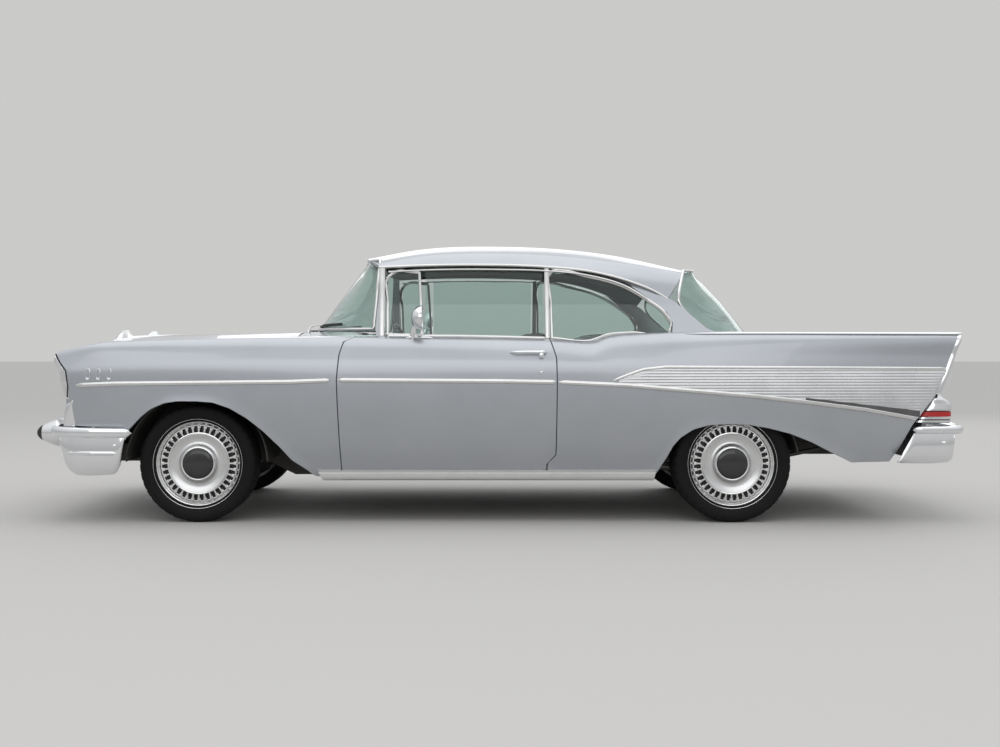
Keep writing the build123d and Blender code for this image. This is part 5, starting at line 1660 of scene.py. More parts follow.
@dataclass
class Bumpers:
    """Wrap-round bumpers with their guards.

    Attributes:
        wing_sunk: how far the wings lie inside the face of the upper bar.
        bullet: half-width and height of a bullet guard's axis.
        overrider_y: half-width of the rear overriders.
        front_plan, rear_plan: station and half-width of each bar's outer face, from its end.
    """

    wing_sunk: float = 9.0
    bullet: tuple[float, float] = (560.0, 472.0)
    overrider_y: float = 700.0
    front_plan: Line = ((-341, 934), (-470, 936), (-600, 926), (-715, 896), (-800, 822), (-840, 690),
                        (-856, 420), (-866, 0))
    rear_plan: Line = ((3890, 914), (3990, 916), (4080, 912), (4140, 900), (4170, 872), (4182, 800),
                       (4185, 560), (4186, 0))

    @staticmethod
    def plan(points: Sequence[tuple[float, float]], count: int) -> Array:
        """Right half of the bumper's plan line mirrored into a whole one."""
        half = path_through(points, count)
        return np.concatenate([half * (1, -1), half[-2::-1]])

    def roll(self, points: Sequence[tuple[float, float]], middle: Line, tall: Line, deep: float,
             end: End, name: str, node: str) -> None:
        """Rounded upper bar: an oval section carried along the plan line.

        Args:
            points: plan line of the bar's outer face, from the end to the middle.
            middle: (share of the way, height of the section's middle).
            tall: (share of the way, half-height of the section).
            deep: half-depth of the section.
            end: end of the car that it stands at.
            name: the piece's name.
            node: the CAD node it stands for.
        """
        line = self.plan(points, 80)
        share = np.concatenate([np.linspace(0, 1, 80), np.linspace(1, 0, 80)[1:]])
        ahead = np.gradient(line, axis=0)
        out = np.stack([-ahead[:, 1], ahead[:, 0]], -1)
        out /= np.linalg.norm(out, axis=1, keepdims=True)
        out *= np.sign((out * (end.value, 0)).sum(1).mean())
        a = around(28)
        c, s = np.cos(a), np.sin(a)
        cap = np.sqrt(np.clip(1 - np.clip(1 - share / .035, 0, 1) ** 2, .002, 1))
        d = deep * signed(c, .75)[None] * cap[:, None] - deep
        z = falls(middle, share)[:, None] + (falls(tall, share) * cap)[:, None] * signed(s, .8)[None]
        grid = xyz(line[:, 0, None] + out[:, 0, None] * d, line[:, 1, None] + out[:, 1, None] * d, z)
        Soup().grid(with_ends(grid), wrap_cols=True).piece(name, CHROME, "body", [node])

    def wing(self, outline: Line, middle: Line, out_line: Line, name: str) -> None:
        """Lower face of a bumper's end, wrapped from the side round the corner.

        Args:
            outline: (station, lower edge) from the end of the side forward or rearward.
            middle: (station, upper edge).
            out_line: (station, half-width) of the bumper's outer face.
            name: the piece's name.
        """
        x, v = spread(np.linspace(outline[0][0], outline[-1][0], 60), np.linspace(0, 1, 24))
        low, high = falls(outline, x), falls(middle, x)
        z = low + v * (high - low)
        y = falls(out_line, x) - self.wing_sunk + 7 * np.sin(v * math.pi) - 16 * (1 - v) ** 4
        Soup().shell(xyz(x, y, z), 8, 3).both().piece(name, CHROME, "body")


    def build(self) -> None:
        """Builds both bumpers, the bullet guards and the end ribs."""
        self.roll(self.front_plan, ((0, 492), (.5, 494), (1, 480)), ((0, 27), (.3, 31), (1, 30)), 24,
                  End.FRONT, "front_bumper_bar", "front_bumper")
        self.roll(self.rear_plan, ((0, 508), (1, 512)), ((0, 22), (1, 25)), 24, End.REAR,
                  "rear_bumper_bar", "rear_bumper")
        self.wing(((-744, 420), (-735, 396), (-712, 330), (-683, 290), (-643, 268), (-560, 264),
                   (-436, 272), (-416, 290), (-402, 318), (-372, 470)),
                  ((-744, 470), (-372, 472)),
                  ((-760, 866), (-715, 900), (-655, 922), (-600, 928), (-470, 934), (-360, 932)),
                  "front_bumper_wings")
        self.wing(((3808, 332), (3830, 328), (4001, 328), (4080, 335), (4102, 348), (4112, 372),
                   (4114, 430)),
                  ((3808, 342), (3890, 488), (4114, 492)),
                  ((3808, 911), (3980, 915), (4080, 911), (4114, 904)),
                  "rear_bumper_wings")
        self.valances()
        self.bullets()
        self.ribs()

    def valances(self) -> None:
        """Lower faces between the wings, and the rear overriders."""
        y, v = spread(np.linspace(-700, 700, 60), np.linspace(0, 1, 10))
        x = -838 + 34 * (np.abs(y) / 700) ** 3 + 60 * v
        drop = 14 + 82 * np.clip(1 - (np.abs(y) / 700) ** 5, 0, 1)
        Soup().shell(xyz(x, y, 466 - drop * v), 8, 3, (-1, 0, 0)).piece(
            "front_bumper_face", CHROME, "body")
        x = 4166 - 40 * (np.abs(y) / 700) ** 4 - 46 * v
        Soup().shell(xyz(x, y, 496 - 62 * v), 8, 3, (1, 0, 0)).piece(
            "rear_bumper_face", CHROME, "body")
        z = np.linspace(536, 446, 24)
        reach = 4158 + 28 * np.sin(np.linspace(.25, .9, 24) * math.pi)
        share = np.linspace(0, 1, 24)
        size = np.clip(np.minimum(share, 1 - share) * 8 + .35, 0, 1)
        parts = []
        for side in (-1, 1):
            path = xyz(reach - 16, side * self.overrider_y, z)
            parts.append(sweep(path, oval(44, 16, 20, .7), up=(1, 0, 0), scale=size))
        joined(*parts).piece("rear_overriders", CHROME, "body")

    def bullets(self) -> None:
        """Bullet guards with black rubber noses."""
        metal, nose = Soup(), Soup()
        for side in (-1, 1):
            axis = (0, side * self.bullet[0], self.bullet[1])
            cone = turned([(-800, 76), (-838, 79), (-872, 71), (-910, 56), (-931, 46), (-930, 40),
                           (-800, 60)], axis, 56, Axis.X, closed=True)
            tip = turned([(-926, 42), (-932, 46), (-950, 35), (-964, 20), (-971.5, .01)], axis, 48, Axis.X)
            metal.include(cone)
            nose.include(tip)
        metal.piece("bumper_bullets", CHROME, "body")
        nose.piece("bullet_noses", BLACK_RUBBER_AND_SHADE, "body")

    def ribs(self) -> None:
        """Rib and bolt head on each front corner, bolt head on each rear corner."""
        t = np.linspace(0, 1, 30)
        x, y = -690 + 270 * t, np.interp(t, (0, .5, 1), (902, 924, 926))
        rib = sweep(xyz(x, y + 6, 384.0), oval(7, 11, 12),
                    scale=np.clip(np.minimum(t, 1 - t) * 12 + .2, 0, 1))
        for x, y, z in ((-430.0, 930.0, 425.0), (4052.0, 915.0, 440.0)):
            head = turned([(y - 8, 9), (y + 2, 9), (y + 5, 6), (y + 6, .01)], (x, 0, z), 24)
            rib.include(head)
        rib.both().piece("bumper_ribs", CHROME, "body")


@dataclass
class Wheel:
    """Tyre, polished rim, slotted ring, brushed dish and cap of one wheel."""

    end: End
    side: Side
    station: float
    track: float
    slots: int = 36
    half: float = 112.5

    @property
    def centre(self) -> Array:
        """Middle of the wheel on its axle, on the right side."""
        return np.array([self.station, self.track / 2, AXLE_HEIGHT])

    def build(self) -> None:
        """Builds the wheel on its own body."""
        tag = f"{self.end.name.lower()}_{self.side.tag}"
        for name, soup, finish, nodes in (
            ("tyre", self._tyre(), RUBBER, ["tyre_" + tag]),
            ("rim", self._rim(), POLISHED_RIM, ["rim_" + tag]),
            ("slot_ring", self._fins(), POLISHED_RIM, []),
            ("slot_back", self._back(), SLOT_DARK, []),
            ("dish", self._dish(), BRUSHED_RIM, []),
            ("cap", self._cap(), CAP_BLACK, []),
            ("cap_ring", self._cap_ring(), POLISHED_RIM, []),
        ):
            soup.on(self.side).piece(f"{name}_{tag}", finish, "wheel_" + tag, nodes,
                                     closed=name != "dish")

    def _tyre(self) -> Soup:
        """Tyre: bulged walls with rim guard, grooved tread with cross sipes.

        Returns:
            The closed tyre.
        """
        h = self.half
        wall = [(93, 230), (97, 236), (101, 246), (106, 256), (109, 262), (h - 2, 268), (h, 280),
                (h - 1, 290), (h - 4, 300), (h - 8, 308), (h - 14, 314), (h - 22, 317.5), (h - 30, 319)]
        tread = []
        for y0 in (74, 42, 10):
            tread += [(y0, 319.6), (y0 - 1.5, 312), (y0 - 8.5, 312), (y0 - 10, 319.8)]
        right = wall + tread
        left = [(-y, q) for y, q in reversed(right)]
        profile = np.array(right + left, float)
        count = 240
        a = around(count)
        along = np.broadcast_to(profile[:, None, 0], (len(profile), count))
        rad = np.broadcast_to(profile[:, None, 1], (len(profile), count)).copy()
        sipe = (np.arange(count) % 6 < 1)[None] & (np.abs(profile[:, 0]) > 74)[:, None]
        sipe &= (profile[:, 1] > 307)[:, None]
        rad -= np.where(sipe, 4.5, 0)
        points = xyz(rad * np.cos(a), along, rad * np.sin(a)) + self.centre
        return Soup().grid(points, wrap_rows=True, wrap_cols=True)

    def _rim(self) -> Soup:
        """Stepped polished lip and the barrel behind it.

        Returns:
            The closed rim.
        """
        profile = [(100, 243), (101, 247), (98, 248.5), (94, 246), (93, 239), (93.5, 233),
                   (91, 231), (84, 229.5), (80, 224), (76, 222), (72, 216), (66, 212), (60, 210),
                   (60, 205), (40, 205), (20, 208), (-60, 214), (-92, 222), (-95, 231), (-96, 243),
                   (-100, 243), (-100, 229), (-60, 222), (-20, 219), (40, 222), (70, 228), (88, 236)]
        return turned(profile, self.centre, 96, closed=True)

    def _fins(self) -> Soup:
        """Bright bridges between the slots, each with a raised foot at its outer end.

        Returns:
            Bridges, feet and the ring inside them.
        """
        k = np.arange(self.slots) * 2 * math.pi / self.slots
        soup = Soup()
        shape = np.array([(168, -5.0, 62), (168, 5.0, 62), (208, 7.0, 62), (208, -7.0, 62),
                          (170, -4.0, 73), (170, 4.0, 73), (206, 5.4, 70), (206, -5.4, 70)])
        foot = np.array([(190, -9.5, 55), (190, 9.5, 55), (206, 10.5, 55), (206, -10.5, 55),
                         (192, -8.0, 64), (192, 8.0, 64), (205, 9.0, 64), (205, -9.0, 64)])
        quads = np.array([(0, 1, 2, 3), (4, 7, 6, 5), (0, 4, 5, 1), (1, 5, 6, 2), (2, 6, 7, 3),
                          (3, 7, 4, 0)])
        for block in (shape, foot):
            r, s, y = block[:, 0], block[:, 1], block[:, 2]
            x = r * np.cos(k)[:, None] - s * np.sin(k)[:, None]
            z = r * np.sin(k)[:, None] + s * np.cos(k)[:, None]
            points = xyz(x, y, z) + self.centre
            soup.add(points, (quads[None] + 8 * np.arange(self.slots)[:, None, None]).reshape(-1, 4))
        ring = turned([(76, 170), (77, 166), (74, 162), (64, 162), (62, 170)], self.centre, 96, closed=True)
        return soup.include(ring)

    def _back(self) -> Soup:
        """Dark ring behind the slots."""
        return turned([(48, 160), (46, 212), (40, 212), (42, 160)], self.centre, 72, closed=True)

    def _dish(self) -> Soup:
        """Brushed face: dished in from the slot ring and out again to the cap.

        Returns:
            The closed dish.
        """
        profile = [(72, 164), (75, 160), (72, 152), (66, 138), (63, 124), (64, 112), (70, 102), (80, 96),
                   (82, 92), (60, 88), (58, 166)]
        return turned(profile, self.centre, 120, closed=True)

    def _cap(self) -> Soup:
        """Plain black domed cap."""
        return turned([(78, 84), (92, 83), (97, 78), (101, 60), (104, 34), (105, .01)], self.centre, 64)

    def _cap_ring(self) -> Soup:
        """Polished ring round the cap."""
        return turned([(80, 97), (88, 95), (95, 91), (96, 87), (94, 84), (80, 84)], self.centre, 72,
                      closed=True)


@dataclass
class Grille:
    """Mouth of the front end: fine mesh, floating bar with its end lamps, and surround."""

    half: float = 600.0

    def build(self) -> None:
        """Builds the grille in the mouth between bumper and hood."""
        ys = np.arange(-self.half, self.half + 1, 15.0)
        zs = np.arange(556, 822, 15.0)
        up = boxes(xyz(-716.0, ys, 688.0),
                   np.tile((8.0, 3.0, 270.0), (len(ys), 1)))
        across = boxes(xyz(-720.0, np.zeros(len(zs)), zs),
                       np.tile((8.0, 2 * self.half, 3.0), (len(zs), 1)))
        up.include(across)
        up.piece("grille_mesh", GRILLE, "body", ["grille"])
        t = np.linspace(-1, 1, 50)
        bar = sweep(xyz(-752 + 14 * t ** 2, 585 * t, 674.0), oval(20, 15, 16),
                    scale=np.interp(np.abs(t), (0, .9, 1), (1, .9, .6)))
        for side in (-1, 1):
            lamp = turned([(-700, 40), (-735, 44), (-752, 42), (-764, 34), (-771, 18), (-772, .01)],
                          (0, side * 520, 674), 40, Axis.X)
            bar.include(lamp)
        bar.piece("grille_bar", CHROME, "body")
        loop = np.array([(-735, -612, 560), (-738, -618, 700), (-742, -612, 815), (-752, -560, 842),
                         (-760, -300, 850), (-764, 0, 852), (-760, 300, 850), (-752, 560, 842),
                         (-742, 612, 815), (-738, 618, 700), (-735, 612, 560), (-742, 560, 545),
                         (-748, 0, 543), (-742, -560, 545)], float)
        sweep(path_through(np.concatenate([loop, loop[:1]]), 160), oval(10, 12, 12),
              up=(-1, 0, 0)).piece("grille_surround", CHROME, "body")
        y, z = spread(np.linspace(-640, 640, 40), np.linspace(522, 548, 6))
        x = -752 + 26 * (np.abs(y) / 640) ** 3 - 30 * (548 - z) / 26
        Soup().shell(xyz(x, y, z), 12, 2, (-1, 0, 0)).piece("front_apron", SILVER, "body")


# ------------------------------------------------------------------ cabin
def placed(soup: Soup, origin: Sequence[float], u: Sequence[float], v: Sequence[float],
           w: Sequence[float]) -> Soup:
    """Soup carried from local axes to origin + a u + b v + c w.

    Args:
        soup: the surface, which is changed.
        origin: where its own origin goes.
        u, v, w: its axes.

    Returns:
        The same surface.
    """
    turn = np.array([u, v, w], float)
    soup.points = [np.asarray(points, float) @ turn + np.asarray(origin, float) for points in soup.points]
    return soup


def joined(*soups: Soup) -> Soup:
    """Several surfaces as one.

    Returns:
        The joined surface.
    """
    whole = Soup()
    for soup in soups:
        for points, faces, uv in zip(soup.points, soup.faces, soup.uvs):
            whole.points.append(points)
            whole.faces.append(faces + whole.count)
            whole.uvs.append(uv)
        whole.count += soup.count
    return whole


def baked(made: bpy.types.Object) -> bpy.types.Mesh:
    """The object's mesh with its modifiers applied.

    Args:
        made: the object, whose modifiers are then removed.

    Returns:
        Its new mesh.
    """
    graph = bpy.context.evaluated_depsgraph_get()
    mesh = bpy.data.meshes.new_from_object(made.evaluated_get(graph), depsgraph=graph)
    made.modifiers.clear()
    made.data = mesh
    return mesh


def read(items: bpy.types.bpy_prop_collection, key: str) -> Array:
    """Three-part values of a mesh's vertices or faces as an array (n, 3).

    Args:
        items: vertices or faces.
        key: name of the value.

    Returns:
        Array (n, 3).
    """
    flat = np.empty(len(items) * 3)
    items.foreach_get(key, flat)
    return flat.reshape(-1, 3)


@dataclass
class Cushion:
    """One padded piece of a bench: a rounded form blown up as cloth, channelled and piped.

    Attributes:
        name: the piece's name.
        section: closed side section (station, height) before it is blown up.
        half: half-width of the form.
        look: the way in which the channelled insert looks.
        nodes: CAD nodes that the piece stands for.
        seams: corners of the section between which the piping runs.
        pitch: width of a channel.
        inset: distance of the piping from the form's sides.
        voxel: size of the cloth's mesh, in metres.
        pressure: air pressure that blows it up.
        frames: frames for which it is blown up.
        cap: farthest that a point may move, in metres.
    """

    name: str
    section: Line
    half: float
    look: tuple[float, float, float]
    nodes: tuple[str, ...] = ()
    seams: tuple[int, int] = (1, 2)
    pitch: float = 52.0
    inset: float = 70.0
    voxel: float = .013
    pressure: float = 4.0
    frames: int = 20
    cap: float = .026

    def form(self) -> Soup:
        """Section carried across the car, at the size .12 + .88 (1 - |t|^14)^(1/3) at the share t.

        Returns:
            The closed form.
        """
        loop = path_through([*self.section, self.section[0]], 64)[:-1]
        centre = loop.mean(0)
        t = signed(np.linspace(-1, 1, 60), .6)
        size = .12 + .88 * np.clip(1 - np.abs(t) ** 14, 0, 1) ** (1 / 3)
        ring = centre + (loop - centre)[None] * size[:, None, None]
        y = np.broadcast_to((t * self.half)[:, None], ring.shape[:2])
        grid = xyz(ring[..., 0], y, ring[..., 1])
        ends = [np.broadcast_to(np.array([centre[0], s * self.half, centre[1]]), (1, len(loop), 3))
                for s in (-1, 1)]
        return Soup().grid(np.concatenate([ends[0], grid, ends[1]]), wrap_cols=True)

    def blow(self, made: bpy.types.Object) -> None:
        """Remeshes the form, blows it up as cloth and keeps every point within the cap.

        Args:
            made: the cushion's object.
        """
        remesh = made.modifiers.new("voxels", "REMESH")
        remesh.mode = "VOXEL"
        remesh.voxel_size = self.voxel
        rest = read(baked(made).vertices, "co")
        cloth = made.modifiers.new("air", "CLOTH")
        settings = cloth.settings
        settings.quality = 4
        settings.mass = .25
        settings.use_pressure = True
        settings.uniform_pressure_force = self.pressure
        settings.effector_weights.gravity = 0.0
        cloth.collision_settings.use_collision = False
        cloth.point_cache.frame_start = 1
        cloth.point_cache.frame_end = self.frames
        scene = bpy.context.scene
        for step in range(1, self.frames + 1):
            scene.frame_set(step)
        mesh = baked(made)
        move = read(mesh.vertices, "co") - rest
        far = np.linalg.norm(move, axis=1, keepdims=True)
        share = np.minimum(1.0, self.cap / np.maximum(far, 1e-9))
        mesh.vertices.foreach_set("co", (rest + move * share).ravel())
        scene.frame_set(1)

    def channel(self, made: bpy.types.Object) -> None:
        """Sews the channels: 2 - 9 (1 - |sin(pi y / pitch)|)^5 mm along the normal, on the insert.

        Args:
            made: the cushion's object.
        """
        subdivide = made.modifiers.new("finer", "SUBSURF")
        subdivide.levels = subdivide.render_levels = 1
        mesh = baked(made)
        points, normals = read(mesh.vertices, "co"), read(mesh.vertices, "normal")
        y = points[:, 1] * 1000
        facing = np.clip((normals @ np.asarray(self.look) - .25) / .3, 0, 1)
        side = np.clip((self.half - 78 - np.abs(y)) / 10, 0, 1)
        groove = (1 - np.abs(np.sin(math.pi * y / self.pitch))) ** 5
        depth = (2.0 - 9.0 * groove) * facing * side * .001
        mesh.vertices.foreach_set("co", (points + normals * depth[:, None]).ravel())
        mesh.materials.clear()
        for finish in (VINYL, CLOTH):
            mesh.materials.append(finish.material())
        inside = read(mesh.polygons, "normal") @ np.asarray(self.look) > .45
        inside &= np.abs(read(mesh.polygons, "center")[:, 1]) * 1000 < self.half - 74
        mesh.polygons.foreach_set("material_index", inside.astype(np.int32))
        mesh.shade_smooth()
        mesh.update()

    def piping(self, made: bpy.types.Object) -> None:
        """Round cord sewn along the seams, laid on the blown surface.

        Args:
            made: the cushion's object.
        """
        graph = bpy.context.evaluated_depsgraph_get()
        graph.update()
        loop = np.asarray(self.section, float)
        centre = loop.mean(0)
        a, b = loop[self.seams[0]], loop[self.seams[1]]
        h = self.half
        y = np.linspace(-h + self.inset, h - self.inset, 60)
        ends = np.linspace(0, 1, 22)[1:-1]
        line = np.concatenate([
            xyz(a[0], y, a[1]),
            xyz(a[0] + (b[0] - a[0]) * ends, h - self.inset, a[1] + (b[1] - a[1]) * ends),
            xyz(b[0], y[::-1], b[1]),
            xyz(b[0] + (a[0] - b[0]) * ends, self.inset - h, b[1] + (a[1] - b[1]) * ends)])
        push = line - np.array([centre[0], 0, centre[1]])
        push[:, 1] = 0
        push /= np.maximum(np.linalg.norm(push, axis=1, keepdims=True), 1e-9)
        wanted = (line + push * 60) * .001
        wanted[:, 0] += FRONT_AXLE
        found = np.array([made.closest_point_on_mesh(place)[1] for place in wanted])
        found[:, 0] -= FRONT_AXLE
        laid = found * 1000
        for _ in range(2):
            laid = (np.roll(laid, 1, axis=0) + 2 * laid + np.roll(laid, -1, axis=0)) / 4
        laid += push * 2.0
        sweep(laid, oval(4, 4, 8), up=(.3, .2, 1), closed=True).piece(
            self.name + "_piping", VINYL, "body")

    def build(self) -> None:
        made = self.form().piece(self.name, VINYL, "body", self.nodes)
        self.blow(made)
        self.channel(made)
        self.piping(made)


@dataclass
class SteeringWheel:
    """Rim, spokes, horn ring and hub on the column's slanting axis."""

    foot: tuple[float, float, float] = (817.0, -370.0, 690.0)
    head: tuple[float, float, float] = (1140.0, -370.0, 905.0)
    radius: float = 196.0
    lift: float = 27.0

    def axes(self) -> tuple[Array, Array, Array, Array]:
        """Middle of the rim and the wheel's own axes, the last along the column.

        Returns:
            Origin and three unit axes.
        """
        foot, head = np.array(self.foot), np.array(self.head)
        along = (head - foot) / np.linalg.norm(head - foot)
        across = np.array([0.0, 1.0, 0.0])
        return head + along * self.lift, across, np.cross(along, across), along

    def build(self) -> None:
        """Builds the wheel's pieces on its own body."""
        origin, u, v, w = self.axes()
        a = around(144)
        ring = xyz(self.radius * np.cos(a), self.radius * np.sin(a), np.zeros(144))
        grip = 1 + .05 * np.cos(36 * a)
        rim = sweep(ring, oval(10.5, 11.5, 16), closed=True, scale=grip)
        placed(rim, origin, u, v, w).piece("steering_rim", WHEEL_PLASTIC, "steering_wheel",
                                           ["steering_wheel"])
        parts = []
        for angle in (0.0, math.pi, 1.5 * math.pi):
            c, s = math.cos(angle), math.sin(angle)
            r = np.linspace(24, self.radius - 4, 16)
            drop = -8 * np.sin(np.linspace(0, math.pi, 16))
            path = xyz(r * c, r * s, drop - 3)
            parts.append(sweep(path, oval(13, 4, 14), scale=np.linspace(1.25, .75, 16)))
        b = np.linspace(math.pi, 2 * math.pi, 60)
        horn = xyz(118 * np.cos(b), 118 * np.sin(b), -2.0)
        parts.append(sweep(horn, oval(4.5, 4.5, 10)))
        parts.append(turned([(-26, 20), (-24, 34), (-6, 40), (6, 36), (12, 26), (15, 12), (16, .01)],
                            (0, 0, 0), 40, Axis.Z))
        placed(joined(*parts), origin, u, v, w).piece("steering_spokes", CHROME, "steering_wheel")


@dataclass
class Dashboard:
    """Instrument panel, dials, column levers and pedals."""

    def build(self) -> None:
        """Builds the panel and what stands on it."""
        self._panel()
        self._dials()
        self._trim()
        self._pedals()

    @staticmethod
    def _across(section: Line, y0: float, y1: float, size: Array | None = None) -> Soup:
        """Closed section carried from y0 to y1.

        Args:
            section: (station, height) of its corners.
            y0, y1: its ends across the car.
            size: size of the section at even steps.

        Returns:
            The swept surface.
        """
        loop = path_through([*section, section[0]], 56)[:-1]
        size = np.ones(24) if size is None else size
        centre = loop.mean(0)
        ys = np.linspace(y0, y1, len(size))
        path = xyz(centre[0], ys, centre[1])
        return sweep(path, loop - centre, scale=size)

    def _panel(self) -> None:
        """Body of the panel with the instrument pod."""
        low = ((828, 806), (826, 900), (830, 966), (880, 974), (950, 980), (984, 982), (1000, 962),
               (992, 900), (982, 850), (962, 804), (900, 800))
        body = self._across(low, -588, 588)
        pod = ((876, 962), (890, 1016), (930, 1032), (980, 1034), (996, 1024), (1004, 980),
               (1006, 930), (1000, 905), (950, 915))
        size = np.concatenate([[.55, .8, .93], np.ones(18), [.93, .8, .55]])
        top = self._across(pod, -566, -194, size)
        joined(body, top).piece("dash_panel", DASH, "body", ["dashboard"])

    def _dials(self) -> None:
        """Three round instruments: dark faces, bright bezels, ticks and needles."""
        bezels, faces, marks = Soup(), Soup(), Soup()
        for y, r in ((-478.0, 34.0), (-380.0, 46.0), (-282.0, 34.0)):
            z, x = 972.0, 1006.0
            bezels = joined(bezels, turned([(x - 6, r + 1), (x + 3, r + 4), (x + 8, r + 1), (x + 5, r - 3),
                                            (x - 4, r - 3)], (0, y, z), 40, Axis.X, closed=True))
            faces = joined(faces, turned([(x - 4, r), (x + 1, r - 1), (x + 1, .01)], (0, y, z), 40, Axis.X))
            a = np.radians(np.arange(-220, 41, 20))
            spots = xyz(x + 1.6, y + (r - 8) * np.cos(a), z - (r - 8) * np.sin(a))
            marks = joined(marks, boxes(spots, np.tile((1.0, 2.6, 2.6), (len(a), 1))))
            tip = (x + 2.4, y - r * .45, z + r * .45)
            needle = sweep(np.array([(x + 2.4, y, z), tip]), oval(.8, 1.2, 6))
            marks = joined(marks, needle)
        bezels.piece("dial_bezels", CHROME, "body")
        faces.piece("dial_faces", CAP_BLACK, "body")
        marks.piece("dial_marks", HEADLINER, "body")

    @staticmethod
    def _trim() -> None:
        """Bright strip, speaker slats, knobs and the column's levers."""
        strip = sweep(xyz(997.0, np.linspace(-180, 580, 30), 944.0),
                      oval(5, 9, 10, .6))
        ys = np.arange(-84, 85, 12.0)
        slats = boxes(xyz(993.0, ys, 895.0),
                      np.tile((8.0, 5.0, 66.0), (len(ys), 1)))
        parts = [strip, slats]
        for y, z in ((-150, 890), (150, 890), (-540, 905), (-200, 905), (360, 915)):
            parts.append(turned([(986, 9), (1000, 9), (1006, 13), (1014, 12), (1017, .01)], (0, y, z),
                                24, Axis.X))
        for reach, drop in ((150, 10), (-150, -16)):
            t = np.linspace(0, 1, 14)
            path = xyz(1080 + 22 * t, -370 + reach * t, 868 + 40 * t + drop * t * t)
            parts.append(sweep(path, oval(4, 4, 10)))
            parts.append(turned([(0, .01), (4, 8), (12, 10), (20, 7), (22, .01)],
                                (1102, -370 + reach, 908 + drop), 20, Axis.Z))
        joined(*parts).piece("dash_brightwork", CHROME, "body")

    @staticmethod
    def _pedals() -> None:
        """Brake and clutch pads on hanging arms, and the long accelerator."""
        parts = []
        for y in (-440.0, -330.0):
            path = np.array([(835, y, 700), (860, y, 600), (900, y, 520), (925, y, 500)])
            parts.append(sweep(path, oval(6, 9, 10), up=(0, 1, 0)))
            pad = np.array([(915, y, 500), (940, y, 500)])
            parts.append(sweep(pad, oval(34, 26, 16, .5), up=(0, 0, 1)))
        path = np.array([(850, -235, 420), (905, -235, 520)])
        parts.append(sweep(path, oval(24, 5, 16, .5), up=(1, 0, 0)))
        joined(*parts).piece("pedals", BLACK_RUBBER_AND_SHADE, "body")


